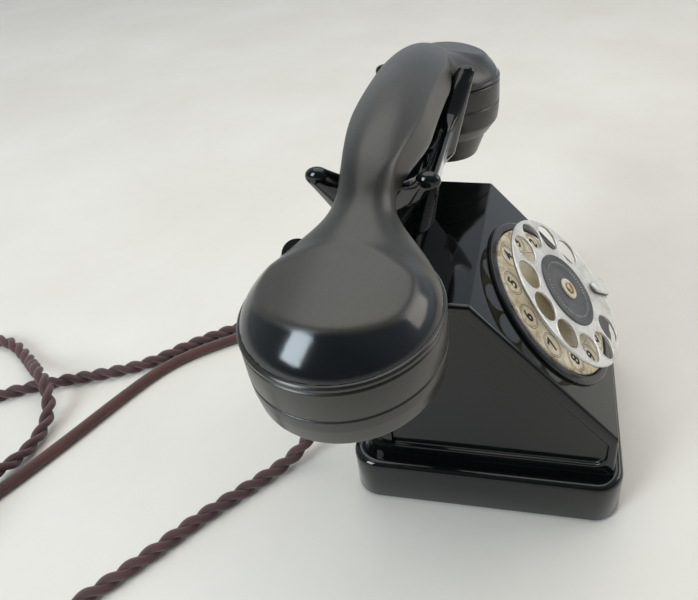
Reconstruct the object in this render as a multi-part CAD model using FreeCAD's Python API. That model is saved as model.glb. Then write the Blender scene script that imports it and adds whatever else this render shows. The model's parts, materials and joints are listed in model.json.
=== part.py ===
# Corded rotary desk telephone: moulded case, cradle with hook switch, dial with its clockwork, ringer,
# handset with two capsules, and two textile cords.
# Units are millimetres. +Z is up, -Y is the front (the dial side), +X is the user's right.
# The origin is on the table, under the middle of the telephone.
import FreeCAD, Part
import math
import os

from FreeCAD import Vector as V

# ---------------------------------------------------------------- driving dimensions

# case: a wedge-shaped body standing on a wider plinth
PLINTH_HALF_WIDTH = 57.0
PLINTH_FRONT_Y = -65.3
PLINTH_BACK_Y = 59.5
PLINTH_BOTTOM_Z = 1.0
PLINTH_TOP_Z = 24.0
PLINTH_CORNER_R = 13.0
PLINTH_EDGE_R = 3.0
BODY_HALF_WIDTH = 49.0
BODY_FRONT_Y = -60.7
BODY_BACK_Y = 53.5
BODY_TOP_Z = 115.3
SLOPE_BOTTOM_Z = 46.5
SLOPE_TOP_Y = 2.6
BODY_EDGE_R = 1.8
BODY_BACK_R = 9.0
WALL = 3.5
BEAD_WIDTH = 6.0
PANEL_DEPTH = 1.4
PANEL_CORNER_R = 4.0
PANEL_BOTTOM_Z = 30.0

# base plate, feet and the screws that hold the plate to the case
PLATE_BOTTOM_Z = 2.0
PLATE_THICK = 1.5
PLATE_GAP = 0.4
FOOT_R = 6.5
FOOT_STUB_R = 2.5
BOSS_R = 5.0
BOSS_TOP_Z = 20.0
SCREW_R = 1.4
SCREW_HEAD_R = 3.0
PRESS_GAP = 0.05
BOSS_X = 47.5
BOSS_FRONT_Y = -51.0
BOSS_BACK_Y = 38.0
FOOT_X = 31.0
FOOT_FRONT_Y = -53.0
FOOT_BACK_Y = 47.0

# dial, built about its own axis and then laid on the sloping face
DIAL_CENTRE = V(0, (BODY_FRONT_Y + SLOPE_TOP_Y) / 2, (SLOPE_BOTTOM_Z + BODY_TOP_Z) / 2)
WHEEL_R = 38.0
WHEEL_Z = 9.4
WHEEL_THICK = 1.2
FINGER_HOLES = 10
FINGER_HOLE_R = 7.0
FINGER_CIRCLE_R = 29.4
FINGER_STEP = 30.0
DISC_R = 18.4
DISC_THICK = 0.6
NUMBER_PLATE_R = 37.6
NUMBER_PLATE_Z = 1.0
DIAL_RING_R = 42.0
DIAL_CUP_R = 35.5
DIAL_CUP_DEPTH = 14.0
DIAL_HOLE_R = 36.0
SHAFT_R = 3.0
STOP_ANGLE = -44.0
RUN_GAP = 0.05

# dial gear train: main wheel, impulse arbor, governor, all on axes parallel to the dial's
GEAR_MODULE = 1.0
MAIN_TEETH = 36
PINION_TEETH = 12
ARBOR_WHEEL_TEETH = 24
GOVERNOR_TEETH = 8
ARBOR_ANGLE = 200.0
GOVERNOR_ANGLE = -30.0
ARBOR_R = 1.5
MAIN_GEAR_Z = -19.0
GEAR_THICK = 2.0
ARBOR_WHEEL_Z = -25.0
FRAME_PLATE_Z = -16.0
BACK_PLATE_Z = -38.5
MECH_PLATE_R = 28.0

# cradle yoke and its plunger
CRADLE_Y = 39.0
HORN_HALF_X = 53.7
HORN_FRONT_Y = 13.2
HORN_BACK_Y = 56.0
HORN_TIP_Z = 175.6
PEDESTAL_HALF_X = 20.0
PEDESTAL_FRONT_Y = 28.0
PEDESTAL_BACK_Y = 50.0
PEDESTAL_BOTTOM_Z = 115.9
YOKE_WALL = 4.6
YOKE_FLOOR_Z = 148.0
PLUNGER_R = 3.0
PLUNGER_BOTTOM_Z = 84.0

# handset: cups, caps and an arched grip
HANDSET_Y = 33.8
CUP_X = 97.8
RIM_Z = 154.6
CUP_TILT = 3.0
RIM_R = 30.4
CAP_R = 31.2
CAP_LOW_R = 30.0
CAP_GAP_Z = 1.7
CAP_BAND_Z = 13.2
CAP_LOW_Z = 24.3
CUP_CROWN_H = 15.5
CAPSULE_R = 25.0

# ringer
RINGER_Y = 33.0
GONG_X = 21.5
GONG_R = 16.5
GONG_RIM_Z = 72.0
GONG_H = 11.0
GONG_WALL = 1.2
RINGER_PLATE_Z = 40.0
COIL_X = 9.0
HAMMER_Z = 76.0

# cords
CORD_R = 3.0
HANDSET_CORD_R = 3.6
FLOOR_Z = 3.3
LAY_Z = 3.9
ARC_SHARE = 0.45

# route of the line cord, from the case back to the coil
LINE_ROUTE = [
    V(26, 67.5, 10), V(26.3, 81.5, 8.4), V(31, 94.5, 4.9), V(37.5, 106.5, FLOOR_Z), V(43.5, 119, FLOOR_Z),
    V(46.3, 132.5, FLOOR_Z), V(44.5, 146, FLOOR_Z), V(38, 158, FLOOR_Z), V(28.5, 171, FLOOR_Z),
    V(18, 184, FLOOR_Z), V(4, 195.8, FLOOR_Z), V(-19, 206.5, FLOOR_Z), V(-48, 218.2, FLOOR_Z),
    V(-78, 231.8, FLOOR_Z), V(-106, 247, FLOOR_Z), V(-134, 264.5, FLOOR_Z),
]
# route of the handset cord, from the case back over the table and up to the handset
HANDSET_ROUTE = [
    V(40, 67.5, 10), V(40.3, 81.5, 8.6), V(44.5, 94.5, 5.4), V(50.5, 106.5, LAY_Z), V(55, 119.5, LAY_Z),
    V(56.2, 133, LAY_Z), V(53.5, 147, LAY_Z), V(46.5, 160.5, LAY_Z), V(36.5, 174, LAY_Z),
    V(26, 187, LAY_Z), V(13, 199, LAY_Z), V(4.5, 211.5, LAY_Z), V(-2, 226, LAY_Z), V(-7.5, 241, LAY_Z),
    V(-13.5, 256, LAY_Z), V(-20.5, 270.5, LAY_Z), V(-28.5, 283.5, LAY_Z), V(-35, 297, LAY_Z),
    V(-37, 311, LAY_Z), V(-33.4, 324.5, LAY_Z), V(-23.5, 334.4, LAY_Z), V(-10, 338, LAY_Z),
    V(3.5, 334.4, LAY_Z), V(13.4, 324.5, LAY_Z), V(17, 311, LAY_Z), V(13.4, 297.5, LAY_Z),
    V(5.5, 284.5, LAY_Z), V(-3, 272.5, 6.5), V(-12.5, 260, 14.1), V(-22, 246, 14.1),
    V(-35, 236.5, 7.0), V(-51.5, 234, LAY_Z), V(-67, 236.5, 5.0), V(-80.5, 241.5, 10.5),
    V(-94, 244.5, 14.1), V(-111, 240, 14.1), V(-126, 230.5, 8.0),
    V(-138, 216.5, 4.4), V(-144, 199.5, LAY_Z), V(-142, 181.5, LAY_Z), V(-131, 167, LAY_Z),
    V(-115.5, 153, LAY_Z), V(-98, 139, LAY_Z), V(-82, 127.5, LAY_Z), V(-68.5, 115.5, LAY_Z),
    V(-56.5, 104.5, LAY_Z), V(-45.5, 94, 5.6), V(-37, 86, 13.5), V(-33.5, 81, 27.0), V(-34, 78.5, 43.0),
    V(-36.5, 78, 61.0), V(-40, 78.5, 79.0), V(-45, 78.5, 97.5), V(-52, 76.5, 115.5),
    V(-60.5, 69.8, 134.5), V(-71, 61, 148.0),
]
COIL_CENTRE = V(-117.5, 295.5, 0)
COIL_MEAN_R = 33.0
COIL_BAND = 18.4
COIL_HEIGHT = 17.4
TAIL_ROUTE = [V(-153.5, 297, 14.4), V(-153, 311, 13.6), V(-151.5, 325, 10.5), V(-150, 339, 7.8)]
PLUG_SIZE = V(30, 34, 15)

parts = {}
radii = {}


# ---------------------------------------------------------------- helpers

def cylinder(radius, z_low, z_high, x=0.0, y=0.0):
    return Part.makeCylinder(radius, z_high - z_low, V(x, y, z_low), V(0, 0, 1))


def tube(outer, inner, z_low, z_high, x=0.0, y=0.0):
    return cylinder(outer, z_low, z_high, x, y).cut(cylinder(inner, z_low - 1, z_high + 1, x, y))


def block(x0, x1, y0, y1, z0, z1):
    return Part.makeBox(x1 - x0, y1 - y0, z1 - z0, V(x0, y0, z0))


def polygon_face(points):
    return Part.Face(Part.makePolygon(points + [points[0]]))


def turned(profile, x=0.0, y=0.0):
    """Solid of revolution about the vertical line through (x, y); profile holds (radius, height) pairs."""
    face = polygon_face([V(r, 0, z) for r, z in profile])
    solid = face.revolve(V(0, 0, 0), V(0, 0, 1), 360)
    solid.translate(V(x, y, 0))
    return solid


def joined(shapes):
    whole = shapes[0]
    for shape in shapes[1:]:
        whole = whole.fuse(shape)
    return whole.removeSplitter()


def group(shapes):
    return Part.makeCompound(shapes)


def rounded_plan(x_half, y0, y1, z0, z1, radius):
    """Upright block with rounded vertical corners."""
    solid = block(-x_half, x_half, y0, y1, z0, z1)
    upright = [e for e in solid.Edges if abs(e.tangentAt(e.FirstParameter).z) > 0.99]
    return solid.makeFillet(radius, upright)


def ellipse_wire(x, y, z, half_y, half_z):
    """Oval section across the X direction."""
    rim = Part.Ellipse(V(0, 0, 0), max(half_y, half_z), min(half_y, half_z))
    wire = Part.Wire(rim.toShape())
    if half_z > half_y:
        wire.rotate(V(0, 0, 0), V(0, 0, 1), 90)
    wire.rotate(V(0, 0, 0), V(0, 0, 1), 90)
    wire.rotate(V(0, 0, 0), V(0, 1, 0), 90)
    wire.translate(V(x, y, z))
    return wire


def route_tube(name, points, radius):
    """Round cord along straight runs joined by arcs that are tangent to both runs."""
    edges = []
    start = points[0]
    radii[name] = []
    for before, corner, after in zip(points, points[1:], points[2:]):
        to_before = (before - corner).normalize()
        to_after = (after - corner).normalize()
        turn = math.pi - to_before.getAngle(to_after)
        cut = ARC_SHARE * min((before - corner).Length, (after - corner).Length)
        radii[name].append(cut / math.tan(turn / 2))
        first = corner + to_before * cut
        last = corner + to_after * cut
        bisector = (to_before + to_after).normalize()
        centre_distance = math.hypot(cut, radii[name][-1])
        middle = corner + bisector * (centre_distance - radii[name][-1])
        edges.append(Part.LineSegment(start, first).toShape())
        edges.append(Part.Arc(first, middle, last).toShape())
        start = last
    edges.append(Part.LineSegment(start, points[-1]).toShape())
    path = Part.Wire(edges)
    heading = (points[1] - points[0]).normalize()
    section = Part.Wire(Part.Circle(points[0], heading, radius).toShape())
    solid = path.makePipeShell([section], True, False)
    expected = math.pi * radius ** 2 * path.Length
    print(name, "length %.0f mm," % path.Length, "volume / expected %.4f," % (solid.Volume / expected),
          "smallest arc %.1f mm" % min(radii[name]), "valid", solid.isValid())
    print("   arc radii:", " ".join("%.0f" % r for r in radii[name]))
    return solid


def gear(teeth, width, z_low, bore):
    """Spur gear with straight-flanked teeth and generous backlash; a tooth is centred on +X."""
    pitch_r = GEAR_MODULE * teeth / 2
    root_r = pitch_r - 1.1 * GEAR_MODULE
    tip_r = pitch_r + 0.75 * GEAR_MODULE
    step = 2 * math.pi / teeth
    points = []
    for i in range(teeth):
        centre = i * step
        for radius, share in ((root_r, -0.33), (tip_r, -0.12), (tip_r, 0.12), (root_r, 0.33)):
            angle = centre + share * step
            points.append(V(radius * math.cos(angle), radius * math.sin(angle), z_low))
    solid = polygon_face(points).extrude(V(0, 0, width))
    return solid.cut(cylinder(bore, z_low - 1, z_low + width + 1))


def moved(shape, x, y, z=0.0):
    shape = shape.copy()
    shape.translate(V(x, y, z))
    return shape


def turned_by(shape, degrees, x=0.0, y=0.0):
    shape = shape.copy()
    shape.rotate(V(x, y, 0), V(0, 0, 1), degrees)
    return shape


def polar(radius, degrees):
    return radius * math.cos(math.radians(degrees)), radius * math.sin(math.radians(degrees))


# height and depth of the sloping face; the dial's own axes are x right, y up the slope, z out of it
SLOPE_RISE = BODY_TOP_Z - SLOPE_BOTTOM_Z
SLOPE_RUN = SLOPE_TOP_Y - BODY_FRONT_Y


def on_slope(shape):
    """Lay a shape built in the dial's own axes on the sloping face."""
    shape = shape.copy()
    tilt = math.degrees(math.atan2(SLOPE_RISE, SLOPE_RUN))
    shape.rotate(V(0, 0, 0), V(1, 0, 0), tilt)
    shape.translate(DIAL_CENTRE)
    return shape


# ---------------------------------------------------------------- case

def side_outline(inset, bottom_z):
    """Side view of the body as points (y, z), set in by a distance."""
    corner_top = inset * math.tan(math.atan2(SLOPE_RISE, SLOPE_RUN) / 2)
    corner_low = inset * math.tan((math.pi / 2 - math.atan2(SLOPE_RISE, SLOPE_RUN)) / 2)
    return [
        (BODY_BACK_Y - inset, bottom_z),
        (BODY_BACK_Y - inset, BODY_TOP_Z - inset),
        (SLOPE_TOP_Y + corner_top, BODY_TOP_Z - inset),
        (BODY_FRONT_Y + inset, SLOPE_BOTTOM_Z - corner_low),
        (BODY_FRONT_Y + inset, bottom_z),
    ]


def side_prism(points, x0, x1):
    return polygon_face([V(x0, y, z) for y, z in points]).extrude(V(x1 - x0, 0, 0))


def body_block():
    solid = side_prism(side_outline(0, PLINTH_TOP_Z - 2), -BODY_HALF_WIDTH, BODY_HALF_WIDTH)
    back = [e for e in solid.Edges
            if e.BoundBox.YMin > BODY_BACK_Y - 0.1 and e.BoundBox.ZMax > PLINTH_TOP_Z + 5]
    solid = solid.makeFillet(BODY_BACK_R, back)
    rest = [e for e in solid.Edges
            if e.BoundBox.ZMax > PLINTH_TOP_Z + 5 and e.BoundBox.YMax < BODY_BACK_Y - BODY_BACK_R + 0.1
            and e.BoundBox.YMin < BODY_BACK_Y - BODY_BACK_R - 1]
    return solid.makeFillet(BODY_EDGE_R, rest)


def side_panel(side):
    """Shallow recess in one side face, inside a raised bead."""
    outer = side * (BODY_HALF_WIDTH + 1)
    inner = side * (BODY_HALF_WIDTH - PANEL_DEPTH)
    solid = side_prism(side_outline(BEAD_WIDTH, PANEL_BOTTOM_Z), min(outer, inner), max(outer, inner))
    across = [e for e in solid.Edges if abs(e.tangentAt(e.FirstParameter).x) > 0.99]
    return solid.makeFillet(PANEL_CORNER_R, across)


def make_case():
    plinth = rounded_plan(PLINTH_HALF_WIDTH, PLINTH_FRONT_Y, PLINTH_BACK_Y, PLINTH_BOTTOM_Z, PLINTH_TOP_Z,
                          PLINTH_CORNER_R)
    top_edges = [e for e in plinth.Edges if e.BoundBox.ZMin > PLINTH_TOP_Z - 0.1]
    plinth = plinth.makeFillet(PLINTH_EDGE_R, top_edges)
    solid = plinth.fuse(body_block())
    for side in (-1, 1):
        solid = solid.cut(side_panel(side))
    inner_half = BODY_HALF_WIDTH - WALL
    hollow = side_prism(side_outline(WALL, PLINTH_BOTTOM_Z - 1), -inner_half, inner_half)
    plinth_hollow = rounded_plan(PLINTH_HALF_WIDTH - WALL, PLINTH_FRONT_Y + WALL, PLINTH_BACK_Y - WALL,
                                 PLINTH_BOTTOM_Z - 1, PLINTH_TOP_Z - WALL, PLINTH_CORNER_R - WALL)
    solid = solid.cut(hollow).cut(plinth_hollow)
    bosses = []
    for x in (-BOSS_X, BOSS_X):
        for y in (BOSS_FRONT_Y, BOSS_BACK_Y):
            bosses.append(cylinder(BOSS_R, PLATE_BOTTOM_Z + PLATE_THICK, PLINTH_TOP_Z - WALL + 0.5, x, y))
    solid = joined([solid] + bosses)
    for x in (-BOSS_X, BOSS_X):
        for y in (BOSS_FRONT_Y, BOSS_BACK_Y):
            solid = solid.cut(cylinder(SCREW_R + PRESS_GAP, 0, BOSS_TOP_Z - 5, x, y))
    solid = solid.cut(on_slope(cylinder(DIAL_HOLE_R, -12, 5)))
    for x, radius in ((0, 6.05), (-12, 3.55), (12, 3.55)):
        solid = solid.cut(cylinder(radius, BODY_TOP_Z - 8, BODY_TOP_Z + 2, x, CRADLE_Y))
    for x in (LINE_ROUTE[0].x, HANDSET_ROUTE[0].x):
        solid = solid.cut(Part.makeCylinder(5.05, 12, V(x, PLINTH_BACK_Y - 9, LINE_ROUTE[0].z), V(0, 1, 0)))
    return solid


def make_base():
    gap = WALL + PLATE_GAP
    plate = rounded_plan(PLINTH_HALF_WIDTH - gap, PLINTH_FRONT_Y + gap, PLINTH_BACK_Y - gap, PLATE_BOTTOM_Z,
                         PLATE_BOTTOM_Z + PLATE_THICK, PLINTH_CORNER_R - gap)
    screws = []
    for x in (-BOSS_X, BOSS_X):
        for y in (BOSS_FRONT_Y, BOSS_BACK_Y):
            plate = plate.cut(cylinder(SCREW_R + 0.2, 0, 8, x, y))
            head = cylinder(SCREW_HEAD_R, PLATE_BOTTOM_Z - 1.2, PLATE_BOTTOM_Z, x, y)
            slot = block(x - 0.4, x + 0.4, y - 4, y + 4, 0, PLATE_BOTTOM_Z - 0.7)
            shank = cylinder(SCREW_R, PLATE_BOTTOM_Z, BOSS_TOP_Z - 6, x, y)
            screws.append(head.cut(slot).fuse(shank))
    for name, y in (("feet_front", FOOT_FRONT_Y), ("feet_back", FOOT_BACK_Y)):
        pads = []
        for x in (-FOOT_X, FOOT_X):
            plate = plate.cut(cylinder(FOOT_STUB_R + PRESS_GAP, 0, 8, x, y))
            pads.append(turned([(0, 0), (FOOT_R - 0.8, 0), (FOOT_R, 0.8), (FOOT_R, PLATE_BOTTOM_Z),
                                (FOOT_STUB_R, PLATE_BOTTOM_Z),
                                (FOOT_STUB_R, PLATE_BOTTOM_Z + PLATE_THICK),
                                (0, PLATE_BOTTOM_Z + PLATE_THICK)], x, y))
        parts[name] = group(pads)
    parts["base_plate"] = plate
    parts["base_screws"] = group(screws)


# ---------------------------------------------------------------- dial

ARBOR_X, ARBOR_Y = polar(GEAR_MODULE * (MAIN_TEETH + PINION_TEETH) / 2, ARBOR_ANGLE)
STEP_X, STEP_Y = polar(GEAR_MODULE * (ARBOR_WHEEL_TEETH + GOVERNOR_TEETH) / 2, GOVERNOR_ANGLE)
GOVERNOR_X = ARBOR_X + STEP_X
GOVERNOR_Y = ARBOR_Y + STEP_Y


def make_dial_fixed():
    cup = turned([
        (SHAFT_R + RUN_GAP, -DIAL_CUP_DEPTH), (DIAL_CUP_R, -DIAL_CUP_DEPTH), (DIAL_CUP_R, 0),
        (DIAL_RING_R, 0), (DIAL_RING_R, 1.2), (DIAL_RING_R - 0.9, 2.0), (NUMBER_PLATE_R + 0.4, 2.0),
        (NUMBER_PLATE_R + 0.4, 0.2), (DIAL_CUP_R - 1.5, 0.2), (DIAL_CUP_R - 1.5, -DIAL_CUP_DEPTH + 1.5),
        (SHAFT_R + RUN_GAP, -DIAL_CUP_DEPTH + 1.5)])
    parts["dial_case"] = on_slope(cup)
    top = NUMBER_PLATE_Z + 1.2
    plate = turned([
        (4.0, NUMBER_PLATE_Z), (NUMBER_PLATE_R - 1.2, NUMBER_PLATE_Z), (NUMBER_PLATE_R - 1.2, 0.25),
        (NUMBER_PLATE_R, 0.25), (NUMBER_PLATE_R, top - 0.5), (NUMBER_PLATE_R - 0.6, top), (4.0, top)])
    parts["number_plate"] = on_slope(plate)
    frame = cylinder(MECH_PLATE_R + 2, FRAME_PLATE_Z, -DIAL_CUP_DEPTH).cut(
        cylinder(SHAFT_R + RUN_GAP, FRAME_PLATE_Z - 1, 0))
    frame = frame.cut(cylinder(ARBOR_R + RUN_GAP, FRAME_PLATE_Z - 1, 0, ARBOR_X, ARBOR_Y))
    parts["dial_frame_plate"] = on_slope(frame)
    back_top = BACK_PLATE_Z + 1.5
    back = cylinder(MECH_PLATE_R, BACK_PLATE_Z, back_top)
    for x, y, r in ((0, 0, SHAFT_R), (ARBOR_X, ARBOR_Y, ARBOR_R), (GOVERNOR_X, GOVERNOR_Y, ARBOR_R)):
        back = back.cut(cylinder(r + RUN_GAP, BACK_PLATE_Z - 1, back_top + 1, x, y))
    parts["dial_back_plate"] = on_slope(back)
    pillars = []
    for angle in (60, 120, 320):
        x, y = polar(25.0, angle)
        pillars.append(cylinder(2.0, back_top, FRAME_PLATE_Z, x, y))
    parts["dial_pillars"] = on_slope(group(pillars))
    parts["dial_main_spring"] = on_slope(tube(14.0, 5.0, -11.5, -4.0))
    drum = cylinder(11.0, back_top, -28.0, GOVERNOR_X, GOVERNOR_Y)
    drum = drum.cut(cylinder(9.8, back_top + 1.2, -27.0, GOVERNOR_X, GOVERNOR_Y))
    drum = drum.cut(cylinder(ARBOR_R + RUN_GAP, back_top - 1, -27, GOVERNOR_X, GOVERNOR_Y))
    parts["governor_drum"] = on_slope(drum)
    stack = block(-27, -19, 2.5, 10, back_top, -26)
    leaves = [block(x, x + 0.4, -2.4, 2.5, -29.5, -27) for x in (-24.6, -21.0)]
    parts["impulse_contacts"] = on_slope(joined([stack] + leaves))


def make_finger_stop():
    """Bent metal finger: a foot on the dial ring, a leg outside the wheel and a tapered finger over it."""
    leg_in = WHEEL_R + 0.7
    leg_out = leg_in + 1.5
    under = WHEEL_Z + WHEEL_THICK + 0.6
    outline = [
        (DIAL_RING_R - 0.7, 2.05), (DIAL_RING_R - 0.7, 3.2), (leg_out, 3.6), (leg_out, under + 0.6),
        (leg_out - 1.2, under + 1.7), (33.0, under + 1.9), (25.5, under + 0.9), (24.8, under + 0.3),
        (25.6, under), (33.0, under + 0.5), (leg_in - 0.6, under + 0.2), (leg_in, under - 0.6),
        (leg_in, 2.05)]
    side = polygon_face([V(r, 0, z) for r, z in outline])
    solid = side.extrude(V(0, 8, 0))
    solid.translate(V(0, -4, 0))
    taper = [(24, 1.6), (34, 3.2), (43, 4)]
    plan = polygon_face([V(r, -w, 0) for r, w in taper] + [V(r, w, 0) for r, w in reversed(taper)])
    solid = solid.common(plan.extrude(V(0, 0, 20)))
    parts["finger_stop"] = on_slope(turned_by(solid, STOP_ANGLE))


def make_dial_wheel():
    top = WHEEL_Z + WHEEL_THICK
    wheel = turned([
        (SHAFT_R, 4.0), (8.0, 4.0), (8.0, WHEEL_Z), (WHEEL_R - 1.2, WHEEL_Z), (WHEEL_R - 1.2, WHEEL_Z - 0.8),
        (WHEEL_R, WHEEL_Z - 0.8), (WHEEL_R, top - 0.5), (WHEEL_R - 0.5, top), (SHAFT_R, top)])
    for i in range(FINGER_HOLES):
        x, y = polar(FINGER_CIRCLE_R, i * FINGER_STEP)
        wheel = wheel.cut(cylinder(FINGER_HOLE_R, WHEEL_Z - 3, top + 3, x, y))
    parts["finger_wheel"] = on_slope(wheel)
    parts["centre_disc"] = on_slope(tube(DISC_R, SHAFT_R, top, top + DISC_THICK))
    low = top + DISC_THICK
    head = turned([(0, low), (5.0, low), (5.0, top + 1.6), (3.6, top + 2.3), (0, top + 2.5)])
    head = head.cut(block(-0.5, 0.5, -6, 6, top + 1.7, top + 5))
    parts["centre_screw"] = on_slope(head)
    shaft_low = BACK_PLATE_Z - 0.5
    parts["dial_shaft"] = on_slope(cylinder(SHAFT_R, shaft_low, top + DISC_THICK))
    wheel = gear(MAIN_TEETH, GEAR_THICK, MAIN_GEAR_Z, SHAFT_R)
    parts["main_gear"] = on_slope(turned_by(wheel, ARBOR_ANGLE))


def make_gear_train():
    shaft_low = BACK_PLATE_Z - 0.5
    pinion = gear(PINION_TEETH, GEAR_THICK + 0.6, MAIN_GEAR_Z - 0.3, ARBOR_R / 2)
    pinion = turned_by(pinion, ARBOR_ANGLE + 180 + 180 / PINION_TEETH)
    pinion = pinion.fuse(cylinder(ARBOR_R, shaft_low, FRAME_PLATE_Z + 1.5))
    wheel = turned_by(gear(ARBOR_WHEEL_TEETH, GEAR_THICK, ARBOR_WHEEL_Z, ARBOR_R), GOVERNOR_ANGLE)
    cam = cylinder(4.0, -30, -28).fuse(cylinder(1.6, -30, -28, 3.2, 0)).cut(cylinder(ARBOR_R, -31, -27))
    parts["impulse_pinion"] = on_slope(moved(pinion, ARBOR_X, ARBOR_Y))
    parts["impulse_wheel"] = on_slope(moved(wheel, ARBOR_X, ARBOR_Y))
    parts["impulse_cam"] = on_slope(moved(cam.removeSplitter(), ARBOR_X, ARBOR_Y))
    small = gear(GOVERNOR_TEETH, GEAR_THICK + 0.6, ARBOR_WHEEL_Z - 0.3, ARBOR_R / 2)
    small = turned_by(small, GOVERNOR_ANGLE + 180 + 180 / GOVERNOR_TEETH)
    spindle = cylinder(ARBOR_R, shaft_low, -20.5)
    weights = [tube(4.0, ARBOR_R, -34, -30)]
    for angle in (0, 180):
        arm = block(3.0, 8.6, -1.4, 1.4, -34, -30)
        weights.append(turned_by(arm, angle))
    parts["governor_spindle"] = on_slope(moved(joined([spindle, small]), GOVERNOR_X, GOVERNOR_Y))
    parts["governor_weights"] = on_slope(moved(joined(weights), GOVERNOR_X, GOVERNOR_Y))


# ---------------------------------------------------------------- cradle and hook switch

def yoke_frustum(inset, z0, z1):
    """Upright basket shape that flares from the pedestal to the horn tips."""
    def section(z):
        share = (z - PEDESTAL_BOTTOM_Z) / (HORN_TIP_Z - PEDESTAL_BOTTOM_Z)
        x = PEDESTAL_HALF_X + share * (HORN_HALF_X - PEDESTAL_HALF_X) - inset
        y0 = PEDESTAL_FRONT_Y + share * (HORN_FRONT_Y - PEDESTAL_FRONT_Y) + inset
        y1 = PEDESTAL_BACK_Y + share * (HORN_BACK_Y - PEDESTAL_BACK_Y) - inset
        return Part.makePolygon([V(-x, y0, z), V(x, y0, z), V(x, y1, z), V(-x, y1, z), V(-x, y0, z)])
    return Part.makeLoft([section(z0), section(z1)], True, True)


def curve_prism(points, closing, direction):
    """Prism under a smooth curve through points, closed by straight lines through the closing points."""
    curve = Part.BSplineCurve()
    curve.interpolate(points)
    edges = [curve.toShape()]
    loop = [points[-1]] + closing + [points[0]]
    for a, b in zip(loop, loop[1:]):
        edges.append(Part.LineSegment(a, b).toShape())
    return Part.Face(Part.Wire(edges)).extrude(direction)


def make_cradle():
    outer = yoke_frustum(0, PEDESTAL_BOTTOM_Z, HORN_TIP_Z)
    inner = yoke_frustum(YOKE_WALL, YOKE_FLOOR_Z, HORN_TIP_Z + 6)
    solid = outer.cut(inner)
    dip = [(-49.2, 180), (-47.8, 171.5), (-25, 161), (0, 154), (25, 161), (47.8, 171.5), (49.2, 180)]
    closing = [V(49.2, 0, 200), V(-49.2, 0, 200)]
    solid = solid.cut(curve_prism([V(x, 0, z) for x, z in dip], closing, V(0, 80, 0)))
    notch = [(-14.8, 181), (-13.9, 175.8), (-9.0, 170.6), (0, 168.2),
             (9.0, 170.6), (13.9, 175.8), (14.8, 181)]
    curve = [V(-70, HANDSET_Y + y, z) for y, z in notch]
    closing = [V(-70, HANDSET_Y + 14.8, 200), V(-70, HANDSET_Y - 14.8, 200)]
    solid = solid.cut(curve_prism(curve, closing, V(140, 0, 0)))
    tips = [e for e in solid.Edges if e.BoundBox.ZMin > HORN_TIP_Z - 0.05]
    solid = solid.makeFillet(1.6, tips)
    solid = solid.cut(cylinder(PLUNGER_R, PEDESTAL_BOTTOM_Z - 1, PEDESTAL_BOTTOM_Z + 14, 0, CRADLE_Y))
    for x in (-12, 12):
        solid = solid.cut(cylinder(2.0, PEDESTAL_BOTTOM_Z - 1, PEDESTAL_BOTTOM_Z + 8, x, CRADLE_Y))
    parts["cradle_yoke"] = solid
    rod = cylinder(PLUNGER_R, PLUNGER_BOTTOM_Z, PEDESTAL_BOTTOM_Z + 14, 0, CRADLE_Y)
    collar = cylinder(6.5, 98.0, 100.0, 0, CRADLE_Y)
    parts["hook_plunger"] = joined([rod, collar])
    pins = [cylinder(2.0, 101, PEDESTAL_BOTTOM_Z + 8, x, CRADLE_Y) for x in (-12, 12)]
    parts["cradle_guide_pins"] = group(pins)


def make_hook_switch():
    bushes = [tube(3.5, 2.0 + RUN_GAP, BODY_TOP_Z - 6.5, BODY_TOP_Z, x, CRADLE_Y) for x in (-12, 12)]
    bushes.append(tube(6.0, PLUNGER_R + RUN_GAP, BODY_TOP_Z - 8.5, BODY_TOP_Z, 0, CRADLE_Y))
    parts["cradle_bushes"] = group(bushes)
    plate = block(-18, 18, 12, 49, 88, 90).cut(cylinder(PLUNGER_R + 0.4, 80, 95, 0, CRADLE_Y))
    legs = [block(x, x + 2, 30, 49, 90, BODY_TOP_Z - WALL) for x in (-18, 16)]
    cheeks = [block(x, x + 1.5, 14, 22, 79, 88) for x in (-6.5, 5)]
    pivot = Part.makeCylinder(1.0, 13, V(-6.5, 18, 82.4), V(1, 0, 0))
    parts["hook_bracket"] = joined([plate] + legs + cheeks + [pivot])
    parts["hook_spring"] = tube(5.6, 3.6, 90.0, 98.0, 0, CRADLE_Y)
    arm = block(-3, 3, 16, 42, 81.6, 83.4)
    hub = Part.makeCylinder(2.2, 8, V(-4, 18, 82.4), V(1, 0, 0))
    lever = arm.fuse(hub).cut(Part.makeCylinder(1.0 + RUN_GAP, 20, V(-10, 18, 82.4), V(1, 0, 0)))
    parts["hook_lever"] = lever.removeSplitter()
    stack = block(-16, -9, 14, 24, 90, 101)
    leaves = [block(-14.5, -10.5, 24, 38, z, z + 0.4) for z in (92.5, 95.5, 98.5)]
    parts["hook_contacts"] = joined([stack] + leaves)


# ---------------------------------------------------------------- handset

def tilted_cup(shape, side):
    """Lay a shape built about a vertical axis, rim at height 0, at one end of the handset."""
    shape = shape.copy()
    shape.rotate(V(0, 0, 0), V(0, 1, 0), side * CUP_TILT)
    shape.translate(V(side * CUP_X, HANDSET_Y, RIM_Z))
    return shape


def handset_grip():
    """Arched grip: oval sections from one cup to the other; (x, low z, high z, half width)."""
    half = [(98, 156.5, 169.5, 20), (84, 158, 175, 17), (72, 160.5, 179.5, 10.5), (62, 163.5, 183, 9.2),
            (48, 169.6, 187.4, 10.0), (25, 175.5, 194.0, 10.6)]
    stations = [(-x, low, high, w) for x, low, high, w in half] + [(0, 178.0, 197.0, 10.8)]
    stations += [(x, low, high, w) for x, low, high, w in reversed(half)]
    wires = [ellipse_wire(x, HANDSET_Y, (low + high) / 2, w, (high - low) / 2)
             for x, low, high, w in stations]
    return Part.makeLoft(wires, True, False)


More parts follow.
